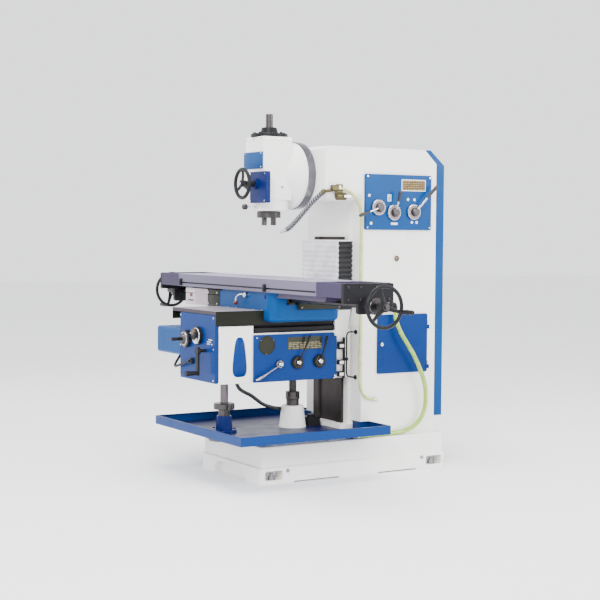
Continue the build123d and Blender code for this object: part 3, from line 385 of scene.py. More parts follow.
def lathe(profile, at, direction, sides=48, flutes=0):
    """Turned solid from (radius, height) points; a radius of 0 closes an end, flutes groove it."""
    points = []
    faces = []
    rings = []
    for radius, height in profile:
        if radius < 1e-7:
            rings.append([len(points)])
            points.append((0, 0, height))
            continue
        rings.append(list(range(len(points), len(points) + sides)))
        for i in range(sides):
            turn = 2 * math.pi * i / sides
            reach = radius * (1 - 0.05 * (1 + math.cos(flutes * turn))) if flutes else radius
            points.append((reach * math.cos(turn), reach * math.sin(turn), height))
    for low, high in zip(rings, rings[1:]):
        for i in range(sides):
            j = (i + 1) % sides
            if len(low) == 1:
                faces.append((low[0], high[j], high[i]))
            elif len(high) == 1:
                faces.append((low[i], low[j], high[0]))
            else:
                faces.append((low[i], low[j], high[j], high[i]))
    return placed(points, at, direction), faces


def plug(at, direction, radius, low, high, sides=24):
    """Plain cylinder between two heights along a direction."""
    return lathe([(0, low), (radius, low), (radius, high), (0, high)], at, direction, sides)


def crowned(at, direction, low, radius, shoulder, crown, high, sides=32, flutes=0):
    """Cylinder that narrows from its shoulder to a smaller crown."""
    profile = [(0, low), (radius, low), (radius, shoulder), (crown, high), (0, high)]
    return lathe(profile, at, direction, sides, flutes)


def soft_box(low, high, bevel, steps=2):
    """Block between two corners with rounded edges."""
    mesh = bmesh.new()
    bmesh.ops.create_cube(mesh, size=1)
    low = Vector(low)
    span = Vector(high) - low
    for vert in mesh.verts:
        vert.co = low + Vector([span[k] * (vert.co[k] + 0.5) for k in range(3)])
    if bevel:
        bmesh.ops.bevel(mesh, geom=mesh.edges[:], offset=bevel, segments=steps, profile=0.5, affect="EDGES")
    return taken(mesh)


def taken(mesh):
    """Points and faces of a bmesh, which is then freed."""
    mesh.verts.index_update()
    points = [vert.co.copy() for vert in mesh.verts]
    faces = [tuple(vert.index for vert in face.verts) for face in mesh.faces]
    mesh.free()
    return points, faces


def ring_of(major, minor, at, direction, around=72, sides=14, squash=1.0):
    """Torus about a direction; squash flattens its section along that direction."""
    points = []
    faces = []
    for i in range(around):
        turn = 2 * math.pi * i / around
        for j in range(sides):
            roll = 2 * math.pi * j / sides
            radius = major + minor * math.cos(roll)
            points.append((radius * math.cos(turn), radius * math.sin(turn),
                           minor * squash * math.sin(roll)))
    for i in range(around):
        for j in range(sides):
            a = i * sides + j
            b = i * sides + (j + 1) % sides
            c = ((i + 1) % around) * sides + (j + 1) % sides
            d = ((i + 1) % around) * sides + j
            faces.append((a, d, c, b))
    return placed(points, at, direction), faces


def route_line(route, steps=10):
    """Points along the smooth spline of a route, read from a curve with no bevel."""
    curve = route_curve("route line", route, steps)
    holder = bpy.data.objects.new("route line", curve)
    mesh = bpy.data.meshes.new_from_object(holder)
    points = [vert.co.copy() for vert in mesh.vertices]
    bpy.data.objects.remove(holder)
    bpy.data.meshes.remove(mesh)
    return points


def route_curve(name, route, steps=14):
    curve = bpy.data.curves.new(name, "CURVE")
    curve.dimensions = "3D"
    curve.resolution_u = steps
    spline = curve.splines.new("NURBS")
    spline.points.add(len(route) - 1)
    for point, place in zip(spline.points, route):
        point.co = (*place, 1)
    spline.order_u = 3
    spline.use_endpoint_u = True
    return curve


def along(points, spacing):
    """Points a fixed distance apart along a line of points, with the direction at each."""
    placed_points = []
    carried = 0.0
    for a, b in zip(points, points[1:]):
        run = (b - a).length
        if run < 1e-9:
            continue
        while carried <= run:
            placed_points.append((a.lerp(b, carried / run), (b - a).normalized()))
            carried += spacing
        carried -= run
    return placed_points


def skin(rings, sides):
    """Quads between closed rings of points that follow one another."""
    faces = []
    for a in range(0, (rings - 1) * sides, sides):
        for j in range(sides):
            k = (j + 1) % sides
            faces.append((a + j, a + k, a + k + sides, a + j + sides))
    return faces


def swept(line, radius_of, sides=20):
    """Tube along (point, direction) pairs; radius_of(i) gives each ring's radius."""
    points = []
    side = Vector(RIGHT) if abs(line[0][1].x) < 0.9 else Vector((0, 1, 0))
    for i, (at, along_dir) in enumerate(line):
        side = (side - side.dot(along_dir) * along_dir).normalized()
        other = along_dir.cross(side)
        radius = radius_of(i)
        for j in range(sides):
            turn = 2 * math.pi * j / sides
            points.append(at + radius * (math.cos(turn) * side + math.sin(turn) * other))
    ends = [tuple(reversed(range(sides))), tuple(range(len(points) - sides, len(points)))]
    return points, skin(len(line), sides) + ends


def hex_bolt(at, direction, size, washer=True):
    """Hexagon head with a chamfered crown on a washer; size is across corners, halved."""
    parts = []
    base = 0.0
    if washer:
        base = 0.16 * size
        parts.append(crowned(at, direction, 0, 1.35 * size, base * 0.8, 1.25 * size, base, 24))
    parts.append(crowned(at, direction, base, size, base + 0.58 * size, 0.86 * size, base + 0.72 * size, 6))
    return merged(parts)


def cap_screw(at, direction, radius):
    """Round socket-head screw with a recess."""
    profile = [(0, 0), (1, 0), (1, 0.76), (0.86, 0.9), (0.5, 0.9), (0.5, 0.25), (0, 0.25)]
    return lathe([(r * radius, h * radius) for r, h in profile], at, direction, 20)


def merged(shapes):
    points = []
    faces = []
    for more_points, more_faces in shapes:
        start = len(points)
        points += more_points
        faces += [tuple(i + start for i in face) for face in more_faces]
    return points, faces


def piece(name, body, groups, replaces=(), angle=35):
    """One object riding a body, from {material slot or look name: [shapes]}."""
    points = []
    faces = []
    looks = []
    for index, shapes in enumerate(groups.values()):
        more_points, more_faces = merged(shapes)
        start = len(points)
        points += more_points
        faces += [tuple(i + start for i in face) for face in more_faces]
        looks += [index] * len(more_faces)
    mesh = bpy.data.meshes.new(name)
    mesh.from_pydata([tuple(p) for p in points], [], faces)
    for key in groups:
        mesh.materials.append(LOOKS[key])
    mesh.polygons.foreach_set("material_index", looks)
    soften(mesh, angle)
    obj = bpy.data.objects.new(name, mesh)
    bpy.context.scene.collection.objects.link(obj)
    if body:
        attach(obj, body)
    if replaces:
        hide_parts(*replaces)
    return obj


def soften(mesh, angle):
    """Smooth shading with edges sharper than the angle kept crisp, normals outward."""
    work = bmesh.new()
    work.from_mesh(mesh)
    bmesh.ops.recalc_face_normals(work, faces=work.faces[:])
    limit = math.radians(angle)
    for face in work.faces:
        face.smooth = True
    for edge in work.edges:
        edge.smooth = len(edge.link_faces) == 2 and edge.calc_face_angle(0) < limit
    work.to_mesh(mesh)
    work.free()


# ---- hoses, conduit, coolant pipe

SUPPLY_ROUTE = [(0.322, -0.128, 1.668), (0.322, -0.095, 1.667), (0.321, -0.057, 1.657),
                (0.320, -0.022, 1.637), (0.320, 0.009, 1.606), (0.320, 0.029, 1.564),
                (0.320, 0.038, 1.512), (0.320, 0.039, 1.450), (0.320, 0.038, 0.560),
                (0.320, 0.041, 0.515), (0.320, 0.055, 0.475), (0.320, 0.084, 0.446),
                (0.320, 0.122, 0.435), (0.320, 0.160, 0.434)]
RETURN_ROUTE = [(0.338, 0.272, 0.968), (0.345, 0.273, 0.915), (0.357, 0.284, 0.862),
                (0.366, 0.308, 0.810), (0.370, 0.341, 0.762), (0.369, 0.379, 0.712),
                (0.366, 0.415, 0.655), (0.364, 0.448, 0.595), (0.361, 0.476, 0.536),
                (0.356, 0.493, 0.472), (0.351, 0.498, 0.409), (0.346, 0.492, 0.350),
                (0.340, 0.466, 0.296), (0.334, 0.424, 0.258), (0.329, 0.372, 0.236),
                (0.326, 0.315, 0.228), (0.325, 0.240, 0.226), (0.325, 0.165, 0.2265),
                (0.325, 0.090, 0.226), (0.325, 0.014, 0.2264)]
CONDUIT_ROUTE = [(0.100, -0.664, 0.559), (0.099, -0.655, 0.527), (0.090, -0.615, 0.499),
                 (0.081, -0.560, 0.476), (0.066, -0.506, 0.441), (0.040, -0.450, 0.408),
                 (0.0, -0.366, 0.382), (-0.060, -0.290, 0.366), (-0.098, -0.226, 0.356),
                 (-0.118, -0.165, 0.346), (-0.128, -0.120, 0.328), (-0.131, -0.093, 0.302),
                 (-0.131, -0.085, 0.272)]
NECK_ROUTE = [(0.316, -0.232, 1.637), (0.290, -0.270, 1.595), (0.252, -0.292, 1.550),
              (0.206, -0.311, 1.502), (0.160, -0.328, 1.458), (0.118, -0.344, 1.426),
              (0.078, -0.368, 1.410)]


def line_length(points):
    return sum((b - a).length for a, b in zip(points, points[1:]))


def add_hose(name, node, route, radius, look):
    curve = route_curve(name, route)
    curve.bevel_depth = radius
    curve.bevel_resolution = 7
    curve.use_fill_caps = True
    curve.materials.append(LOOKS[look])
    hose = bpy.data.objects.new(name, curve)
    bpy.context.scene.collection.objects.link(hose)
    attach(hose, "frame")
    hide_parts(node)
    line_length(route_line(route))


def add_conduit():
    """Corrugated conduit between the knee and the tray."""
    radius = 0.011
    centre = route_line(CONDUIT_ROUTE, 16)
    line = along(centre, 0.0018)
    line.append((centre[-1], (centre[-1] - centre[-2]).normalized()))
    shape = swept(line, lambda i: radius - (0.0016 if i % 3 == 1 else 0.0), 18)
    obj = piece("conduit_cover", None, {"black_plastic": [shape]}, angle=70)
    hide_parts("cable_conduit")
    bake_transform(obj)


def add_coolant_pipe():
    """Articulated metal coolant pipe with barrel segments and a tapered nozzle."""
    line = along(route_line(NECK_ROUTE, 16), 0.002)
    steps = (0.0118, 0.0140, 0.0148, 0.0150, 0.0148, 0.0140, 0.0118, 0.0100)
    tip = len(line) - 26
    body = swept(line[:tip + 1], lambda i: steps[i % len(steps)], 24)
    nozzle = swept(line[tip:], lambda i: 0.0110 - 0.0060 * i / 26, 24)
    piece("coolant_pipe", "frame", {"chrome": [nozzle], "dark_chrome": [body]},
          replaces=("coolant_gooseneck",), angle=50)


def hose_clamp(route_at, direction, radius):
    band = lathe([(radius, -0.005), (radius + 0.0012, -0.005), (radius + 0.0012, 0.005),
                  (radius, 0.005)], route_at, direction, 32)
    turn = axes_for(direction)
    block_at = Vector(route_at) + turn @ Vector((radius + 0.003, 0, 0))
    screw = lathe([(0, -0.008), (0.0032, -0.008), (0.0032, 0.007), (0.0045, 0.008),
                   (0.0045, 0.011), (0, 0.011)], block_at, turn @ Vector((0, 1, 0)), 12)
    return merged([band, screw])


def add_hose_clamps():
    shapes = []
    for route, radius in ((SUPPLY_ROUTE, 0.0081), (RETURN_ROUTE, 0.0131)):
        line = along(route_line(route), 0.002)
        for at, direction in (line[5], line[-7]):
            shapes.append(hose_clamp(at, direction, radius))
    piece("hose_clamps", "frame", {"chrome": shapes})


# ---- accordion way cover

def add_way_cover():
    """Pleated cover in front of the column ways."""
    low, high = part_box("way_bellows")
    half = high.x
    front = low.y
    back = high.y
    pleats = 14
    levels = pleats * 2
    wall = 0.003
    points = []
    for i in range(levels + 1):
        z = low.z + 0.002 + (high.z - 0.008 - low.z) * i / levels
        fold = 0.013 if i % 2 else 0.0
        crease = 0.0022 if i % 2 else 0.0
        for more in (0, wall):
            points += [(fold + more - half, back, z), (fold + more - half, front + crease + more, z),
                       (half - fold - more, front + crease + more, z), (half - fold - more, back, z)]
    flat = []
    shaded_faces = []
    ring = [0, 1, 2, 3, 7, 6, 5, 4]
    for i in range(levels):
        a = 8 * i
        b = a + 8
        for j in range(8):
            k = (j + 1) % 8
            # The pleat fronts take the pale cloth; the sides, back and end caps are painted black as shade.
            faces = flat if j in (1, 5) else shaded_faces
            faces.append((a + ring[j], a + ring[k], b + ring[k], b + ring[j]))
    last = 8 * levels
    for strip in ((0, 1, 5, 4), (1, 2, 6, 5), (2, 3, 7, 6)):
        shaded_faces.append(tuple(reversed(strip)))
        shaded_faces.append(tuple(last + i for i in strip))
    obj = piece("way_cover_pleats", None,
                {"pleat_cloth": [(points, flat)], "rubber_black": [(points, shaded_faces)]}, angle=12)
    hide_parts("way_bellows")
    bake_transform(obj)
    inner = WAY_FRONT - 0.001
    cap = soft_box((-half, front, high.z - 0.008), (half, inner, high.z), 0.0015)
    side_a = soft_box((-half, inner, high.z - 0.008), (-half + 0.018, back, high.z), 0.0015)
    side_b = soft_box((half - 0.018, inner, high.z - 0.008), (half, back, high.z), 0.0015)
    piece("way_cover_top", "frame", {"cream_paint": [cap, side_a, side_b]})
    clamp = soft_box((-half, front - 0.003, low.z - 0.012), (half, front + 0.001, low.z + 0.014), 0.001)
    screws = [cap_screw((x, front - 0.003, low.z + 0.002), FRONT, 0.0055)
              for x in (-0.18, -0.06, 0.06, 0.18)]
    piece("way_cover_strip", "knee", {"ground_steel": [clamp], "black_iron": screws})


# ---- handwheels

def wheel_shapes(at, direction, up, rim, section, spokes, phase, hub_r, back, front):
    """Handwheel parts: rim, tapered curved spokes and a stepped hub."""
    turn = axes_for(direction, up)
    normal = Vector(direction).normalized()
    rim_shape = ring_of(rim, section, at, direction, 96, 20, 0.92)
    steps = 9
    sides = 16
    root = hub_r * 0.7
    wide = hub_r * 0.62
    rolls = [2 * math.pi * n / sides for n in range(sides)]
    arms = []
    for i in range(spokes):
        angle = math.radians(phase + 360 * i / spokes)
        outward = turn @ Vector((math.cos(angle), math.sin(angle), 0))
        across = turn @ Vector((-math.sin(angle), math.cos(angle), 0))
        points = []
        for k in range(steps):
            t = k / (steps - 1)
            radius = root + (rim - root) * t
            width = wide - (wide - section * 0.95) * math.sin(t * math.pi / 2)
            if t > 0.85:
                width += section * 0.5 * (t - 0.85) / 0.15
            thick = section * (0.62 - 0.12 * t)
            dish = -0.35 * section * math.sin(math.pi * t)
            centre = Vector(at) + radius * outward + dish * normal
            points += [centre + width * math.cos(a) * across + thick * math.sin(a) * normal for a in rolls]
        arms.append((points, skin(steps, sides)))
    hub = lathe([(0, back), (hub_r * 0.9, back), (hub_r, back + 0.003), (hub_r, front - 0.004),
                 (hub_r * 0.9, front), (0, front)], at, direction, 48)
    return [rim_shape, *arms, hub]


def grip_shapes(at, direction, length, radius):
    """Turning handle: chrome ferrule and a waisted black grip with a domed end."""
    ferrule = lathe([(0, -0.002), (radius * 0.55, -0.002), (radius * 0.85, 0.004),
                     (radius * 0.85, 0.012), (0, 0.012)], at, direction, 28)
    profile = [(0, 0.012)]
    for i in range(13):
        t = i / 12
        swell = 0.78 + 0.22 * math.sin(math.pi * (0.15 + 0.72 * t))
        profile.append((radius * swell, 0.012 + (length - 0.020) * t))
    profile += [(radius * 0.62, length - 0.003), (radius * 0.3, length), (0, length)]
    return ferrule, lathe(profile, at, direction, 28)


def add_table_wheels():
    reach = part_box("table_handwheels")[1].x
    for side, label in ((-1, "left"), (1, "right")):
        at = Vector((side * WHEEL_X, SCREW_Y, SCREW_Z))
        out = Vector((side, 0, 0))
        body = wheel_shapes(at, out, (0, 1, 0), WHEEL_RIM, 0.010, 3, 105, 0.027, -0.034, 0.016)
        nut = crowned(at, out, 0.016, 0.013, 0.026, 0.010, 0.029, 6)
        collar = plug(at, out, 0.020, 0.014, 0.0175, 40)
        turn = axes_for(out, (0, 1, 0))
        angle = math.radians(GRIP_TURN[side])
        grip_at = at + turn @ Vector((WHEEL_RIM * math.cos(angle), WHEEL_RIM * math.sin(angle), 0.008))
        ferrule, grip = grip_shapes(grip_at, out, reach - WHEEL_X - 0.009, 0.0135)
        piece(f"table_wheel_{label}", "table_screw",
              {"black_iron": [*body, grip], "dark_steel": [nut, collar, ferrule]},
              replaces=("table_handwheels",) if side < 0 else (), angle=40)


def add_quill_wheel():
    at = Vector(QUILL_WHEEL)
    out = Vector(FRONT)
    body = wheel_shapes(at, out, RIGHT, 0.081, 0.0108, 3, 90, 0.0195, -0.022, 0.013)
    sleeve = lathe([(0, -0.073), (0.0185, -0.073), (0.0185, -0.034), (0.0165, -0.030),
                    (0.0165, -0.018), (0, -0.018)], at, out, 40)
    shaft = plug(at, out, 0.010, -0.151, 0.0, 32)
    nut = crowned(at, out, 0.013, 0.010, 0.019, 0.008, 0.021, 6)
    piece("quill_wheel_cover", "quill_handwheel",
          {"black_iron": [*body, sleeve], "chrome": [shaft, nut]},
          replaces=("quill_handwheel",), angle=40)


# ---- small shapes

def bar(at, direction, up, size):
    """Bar from a point along a direction; size is (along up, across, length)."""
    half_up = size[0] / 2
    half_across = size[1] / 2
    points, faces = soft_box((-half_up, -half_across, 0), (half_up, half_across, size[2]), 0)
    return placed(points, at, direction, up), faces


def disc(radius, thick, at, direction, edge=0.001, sides=40):
    """Thin round plate with a chamfered edge."""
    return crowned(at, direction, 0, radius, thick - edge, radius - edge, thick, sides)


def rod_between(start, end, radius, sides=16):
    span = Vector(end) - Vector(start)
    return plug(start, span, radius, 0, span.length, sides)


def handle_grip(start, end, share, thin, thick):
    """Tapered grip over the last share of a lever, with a rounded end."""
    span = Vector(end) - Vector(start)
    first = span.length * (1 - share)
    length = span.length * share + thick
    profile = [(0, first), (thin, first)]
    for i in range(1, 9):
        t = i / 8
        profile.append((thin + (thick - thin) * math.sin(t * math.pi / 2), first + 0.82 * t * length))
    profile += [(0.82 * thick, first + 0.94 * length), (0.45 * thick, first + length), (0, first + length)]
    return lathe(profile, start, span, 24)


def bent_rod(points, radius, sides=12):
    line = route_line([Vector(p) for p in points], 10)
    pairs = [(a, (b - a).normalized()) for a, b in zip(line, line[1:])]
    pairs.append((line[-1], pairs[-1][1]))
    return swept(pairs, lambda i: radius, sides)


def side_plate(x, y, z, thick=0.0012, bevel=0.0004):
    """Thin plate on a face that looks along +X, from (low, high) pairs of y and z."""
    return soft_box((x, y[0], z[0]), (x + thick, y[1], z[1]), bevel, 1)


def panel_screws(x, y, z, inset, radius, direction=RIGHT):
    """Four screws near the corners of a panel that looks along X."""
    return [cap_screw((x, py, pz), direction, radius)
            for py in (y[0] + inset, y[1] - inset) for pz in (z[0] + inset, z[1] - inset)]


def printed_rows(x, y, z, rows, columns, fill):
    """Raised dashes in rows, standing for a table of generic values."""
    marks = []
    row_pitch = (z[1] - z[0]) / rows
    column_pitch = (y[1] - y[0]) / columns
    for i in range(rows):
        low = z[0] + row_pitch * (i + 0.30)
        for j in range(columns):
            start = y[0] + column_pitch * (j + 0.12)
            width = column_pitch * (fill if (3 * i + 2 * j) % 5 else 0.55 * fill)
            marks.append(side_plate(x, (start, start + width), (low, low + 0.42 * row_pitch), 0.0004, 0))
    return marks


# ---- spindle head

def add_head_details():
    front = HEAD_FRONT
    plate = soft_box((-0.109, front - 0.007, 1.778), (0.105, front + 0.001, 1.875), 0.0025)
    screws = [cap_screw((x, front - 0.007, z), FRONT, 0.0045)
              for x in (-0.099, 0.095) for z in (1.788, 1.865)]
    lid = [cap_screw((x, front, 1.951), FRONT, 0.0045) for x in (-0.088, 0.0, 0.088)]
    lid += [cap_screw((0.111, y, 1.951), RIGHT, 0.0045) for y in (-0.475, -0.395, -0.320)]
    piece("head_front_plate", "head", {"bright_blue": [plate], "chrome": screws + lid})
    oil_plug = disc(0.0085, 0.004, (HEAD_SIDE, -0.373, 1.674), RIGHT)
    slot = bar((HEAD_SIDE + 0.004, -0.373, 1.674), RIGHT, UP, (0.011, 0.0018, 0.0006))
    piece("head_oil_plug", "head", {"label_grey": [oil_plug], "black_iron": [slot]})
    low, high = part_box("feed_box")
    bolts = [cap_screw((x, low.y + 0.0145, z), FRONT, 0.005)
             for x in (low.x + 0.013, high.x - 0.013) for z in (low.z + 0.013, high.z - 0.013)]
    piece("feed_box_screws", "head", {"chrome": bolts})


def add_swivel_scale():
    """Degree marks on the swivel ring, and the pointer on the head."""
    low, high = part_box("swivel_ring")
    radius = (high.x - low.x) / 2
    marks = []
    for step in range(-18, 19):
        turn = math.radians(2.5 * step)
        outward = Vector((math.sin(turn), 0, math.cos(turn)))
        length = 0.016 if step % 4 == 0 else 0.009
        at = Vector((0, low.y + 0.004, SWIVEL_Z)) + outward * radius
        marks.append(bar(at, (0, 1, 0), tuple(outward), (0.0008, 0.0012, length)))
    piece("swivel_degree_marks", "frame", {"black_iron": marks})
    pointer = soft_box((-0.006, low.y - 0.010, 1.9375), (0.006, low.y - 0.001, 1.9455), 0.001)
    piece("swivel_pointer", "head", {"chrome": [pointer]})


def add_clamp_knob():
    knob_x = 0.020
    knob_z = 1.558
    low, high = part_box("quill_clamp_knob")
    stem = plug((knob_x, high.y, knob_z), FRONT, 0.006, 0, high.y - low.y - 0.024)
    profile = [(0, 0), (0.011, 0), (0.0165, 0.004), (0.0168, 0.022), (0.013, 0.028), (0, 0.030)]
    knob = lathe(profile, (knob_x, low.y + 0.030, knob_z), FRONT, 48, flutes=8)
    piece("quill_clamp_grip", "quill_clamp_knob", {"black_plastic": [knob], "chrome": [stem]},
          replaces=("quill_clamp_knob",))


# ---- levers

def dial_stack(at, radius, direction, thick=0.0145):
    """Rim, recessed face and radial marks of a lever dial."""
    rim = lathe([(0, 0), (radius, 0), (radius, thick - 0.004), (radius - 0.003, thick),
                 (radius - 0.007, thick), (radius - 0.008, thick - 0.0015),
                 (0, thick - 0.0015)], at, direction, 56)
    face = plug(Vector(at) + Vector(direction) * (thick - 0.0015), direction, radius - 0.008, 0, 0.0006, 48)
    turn = axes_for(direction)
    marks = []
    for i in range(10):
        angle = 2 * math.pi * i / 10
        outward = turn @ Vector((math.cos(angle), math.sin(angle), 0))
        spot = Vector(at) + outward * (radius - 0.014) + Vector(direction) * (thick - 0.001)
        marks.append(bar(spot, direction, tuple(outward), (0.007, 0.0025, 0.0006)))
    return rim, face, marks


def add_gear_levers():
    face = PANEL_FACE + 0.0003
    for name, (hub, tip) in GEAR_LEVERS.items():
        at = (face, *hub)
        rim, dial, marks = dial_stack(at, 0.047, RIGHT)
        boss = lathe([(0, 0.013), (0.026, 0.013), (0.026, 0.019), (0.021, 0.034), (0.017, 0.037),
                      (0, 0.037)], at, RIGHT, 40)
        shaft = plug(at, RIGHT, 0.012, -0.060, 0)
        start = (face + 0.026, *hub)
        end = (face + 0.046, *tip)
        arm = rod_between(start, end, 0.0058)
        grip = handle_grip(start, end, 0.46, 0.0062, 0.0105)
        piece(f"speed_lever_{name}", f"gear_lever_{name}",
              {"satin_chrome": [rim], "chrome": [shaft, arm], "dial_face": [dial], "dark_steel": [boss],
               "black_plastic": [*marks, grip]}, replaces=(f"gear_lever_{name}",))


def add_knee_levers():
    face = KNEE_PANEL + 0.0003
    for name, (hub, tip, radius) in KNEE_LEVERS.items():
        at = (face, *hub)
        body = crowned(at, RIGHT, 0, radius, 0.011, radius - 0.003, 0.0155, 48)
        ring = ring_of(radius * 0.62, 0.0018, (face + 0.0158, *hub), RIGHT, 48, 10)
        cap = crowned(at, RIGHT, 0.015, 0.014, 0.026, 0.010, 0.030)
        shaft = plug(at, RIGHT, 0.009, -0.060, 0)
        reach = 0.8 * radius
        pins = [disc(0.0022, 0.0014, (face + 0.0155, hub[0] + reach * math.cos(turn),
                                      hub[1] + reach * math.sin(turn)), RIGHT, 0.0004, 12)
                for turn in [math.pi * i / 3 for i in range(6)]]
        start = (face + 0.022, *hub)
        end = (face + 0.030, *tip)
        arm = rod_between(start, end, 0.0048)
        grip = handle_grip(start, end, 0.40, 0.0052, 0.0085)
        lead = "satin_chrome" if name == "left" else "black_iron"
        trim = "black_iron" if name == "left" else "bronze"
        piece(f"feed_lever_{name}", f"knee_lever_{name}",
              {lead: [body, arm, grip], trim: [ring, *pins], "chrome": [cap, shaft]},
              replaces=(f"knee_lever_{name}",))


def add_lock_lever():
    """Table lock: hub, curved bright arm and a dark red ball."""
    x, y, z = LOCK_PIVOT
    hub = crowned((x, y - 0.0003, z), FRONT, 0, 0.016, 0.016, 0.012, 0.020)
    arm = bent_rod([(x, y - 0.012, z), (x - 0.030, y - 0.020, z + 0.006),
                    (x - 0.062, y - 0.027, z - 0.006), (x - 0.075, y - 0.032, z - 0.028),
                    (x - 0.070, y - 0.035, z - 0.047)], 0.0055, 16)
    ball = 0.013
    rolls = [math.pi * i / 12 for i in range(1, 12)]
    outline = [(0, -ball), *[(ball * math.sin(a), -ball * math.cos(a)) for a in rolls], (0, ball)]
    knob = lathe(outline, (x - 0.070, y - 0.035, z - 0.047), UP, 28)
    piece("table_lock_handle", "saddle_lock_lever",
          {"chrome": [hub, arm], "dark_red": [knob]}, replaces=("saddle_lock_lever",))


# ---- column

def add_gear_panel_details():
    x = PANEL_FACE
    plate_y = (0.327, 0.504)
    plate_z = (1.663, 1.731)
    border = side_plate(x, plate_y, plate_z, 0.0012)
    inner_y = (plate_y[0] + 0.005, plate_y[1] - 0.005)
    inner_z = (plate_z[0] + 0.005, plate_z[1] - 0.005)
    inner = side_plate(x + 0.0010, inner_y, inner_z, 0.0006)
    rows = printed_rows(x + 0.0015, inner_y, inner_z, 5, 9, 0.74)
    low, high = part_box("gear_panel")
    screws = panel_screws(x, (low.y, high.y), (low.z, high.z), 0.014, 0.0055)
    piece("speed_plate", "frame", {"label_white": [border], "plate_brown": [inner],
                                   "plate_line": rows, "chrome": screws})
    spots = ((0.096, 1.632), (0.110, 1.470), (0.375, 1.613), (0.422, 1.612), (0.405, 1.478), (0.440, 1.478))
    labels = [disc(0.0085, 0.0012, (x, *spot), RIGHT, 0.0004, 28) for spot in spots]
    labels.append(side_plate(x, (0.226, 0.252), (1.600, 1.640)))
    labels.append(side_plate(x, (0.252, 0.300), (1.462, 1.475)))
    marks = [side_plate(x + 0.0012, (0.231, 0.247), (1.606 + 0.008 * i, 1.610 + 0.008 * i), 0.0004, 0)
             for i in range(4)]
    piece("lever_labels", "frame", {"label_white": labels, "black_iron": marks})


def add_column_details():
    x = COLUMN_SIDE
    bezel = ring_of(0.0145, 0.0032, (x + 0.0122, 0.298, 1.263), RIGHT, 40, 12)
    glass = lathe([(0, 0.0118), (0.0125, 0.0118), (0.009, 0.0136), (0, 0.0142)],
                  (x, 0.298, 1.263), RIGHT, 32)
    piece("oil_sight_glass", "frame", {"dark_steel": [bezel], "oil_glass": [glass]})
    cover_y = (0.376, 0.436)
    cover_z = (1.379, 1.420)
    cover = soft_box((x, cover_y[0], cover_z[0]), (x + 0.003, cover_y[1], cover_z[1]), 0.001)
    piece("column_access_cover", "frame",
          {"cream_paint": [cover], "chrome": panel_screws(x + 0.003, cover_y, cover_z, 0.006, 0.0022)})
    lock_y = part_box("side_door")[0].y + 0.026
    lock = lathe([(0, 0), (0.011, 0), (0.0105, 0.0066), (0.006, 0.0074), (0, 0.0074)],
                 (DOOR_FACE, lock_y, 0.757), RIGHT, 32)
    key = bar((DOOR_FACE + 0.0074, lock_y, 0.757), RIGHT, UP, (0.010, 0.003, 0.0004))
    louvres = [bar((DOOR_FACE - 0.0012, 0.350, 0.640 + 0.035 * i), RIGHT, (0, 1, 0), (0.190, 0.004, 0.0022))
               for i in range(7)]
    piece("door_latch", "side_door", {"chrome": [lock], "black_iron": [key], "blue_paint": louvres})


def add_rear_cover_details():
    low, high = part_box("rear_cover")
    rows = [low.z + 0.08 + (high.z - low.z - 0.34) * i / 6 for i in range(7)]
    bolts = [hex_bolt((x, high.y, z), (0, 1, 0), 0.0085)
             for z in rows for x in (low.x + 0.028, high.x - 0.028)]
    fins = []
    for i in range(12):
        z = 0.62 + 0.030 * i
        points, faces = soft_box((-0.13, 0, -0.010), (0.13, 0.011, 0.0), 0.003, 1)
        fins.append(([Vector((p.x, high.y - 0.003 + p.y * (1 + 30 * p.z), z + p.z)) for p in points], faces))
    piece("rear_cover_bolts", "frame", {"blue_paint": fins, "ground_steel": bolts})


def add_base_details():
    shapes = []
    for x in (-0.325, 0.325):
        for y in (-0.560, 0.560):
            washer = lathe([(0.0131, 0), (0.024, 0), (0.024, 0.004), (0.0131, 0.004)], (x, y, 0.022), UP, 32)
            nut = crowned((x, y, 0.022), UP, 0.004, 0.020, 0.021, 0.017, 0.024, 6)
            stud = crowned((x, y, 0.022), UP, 0.024, 0.0115, 0.036, 0.0095, 0.038, 24)
            shapes += [washer, nut, stud]
    jacks = [hex_bolt((side * 0.349, y, 0.070), (side, 0, 0), 0.012)
             for side in (-1, 1) for y in (-0.470, 0.470)]
    piece("anchor_nuts", "frame", {"ground_steel": [*shapes, *jacks]})


# ---- knee

def add_side_pod():
    """Bulging cover with a tapered, round-cornered outline."""
    low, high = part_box("side_pod")
    mid_y = (low.y + high.y) / 2
    mid_z = (low.z + high.z) / 2
    half_z = (high.z - low.z) / 2
    wide = (high.y - low.y) / 2
    sides = 72
    steps = 10
    rings = []
    for k in range(steps + 1):
        scale = 1 - 0.97 * k / steps
        bulge = (high.x - low.x) * (1 - scale ** 3.2) + 0.0008
        ring = []
        for i in range(sides):
            turn = 2 * math.pi * i / sides
            up = math.copysign(abs(math.sin(turn)) ** 0.55, math.sin(turn))
            out = math.copysign(abs(math.cos(turn)) ** 0.55, math.cos(turn))
            width = wide * (0.86 - 0.26 * up * scale)
            ring.append(Vector((low.x + bulge, mid_y + scale * width * out, mid_z + scale * half_z * up)))
        rings.append(ring)
    foot = [Vector((low.x, p.y, p.z)) for p in rings[0]]
    points = [p for ring in [foot, *rings] for p in ring]
    faces = skin(steps + 2, sides)
    faces.append(tuple(range((steps + 1) * sides, (steps + 2) * sides)))
    faces.append(tuple(reversed(range(sides))))
    piece("knee_pod_cover", "knee", {"blue_paint": [(points, faces)]}, replaces=("side_pod",), angle=60)


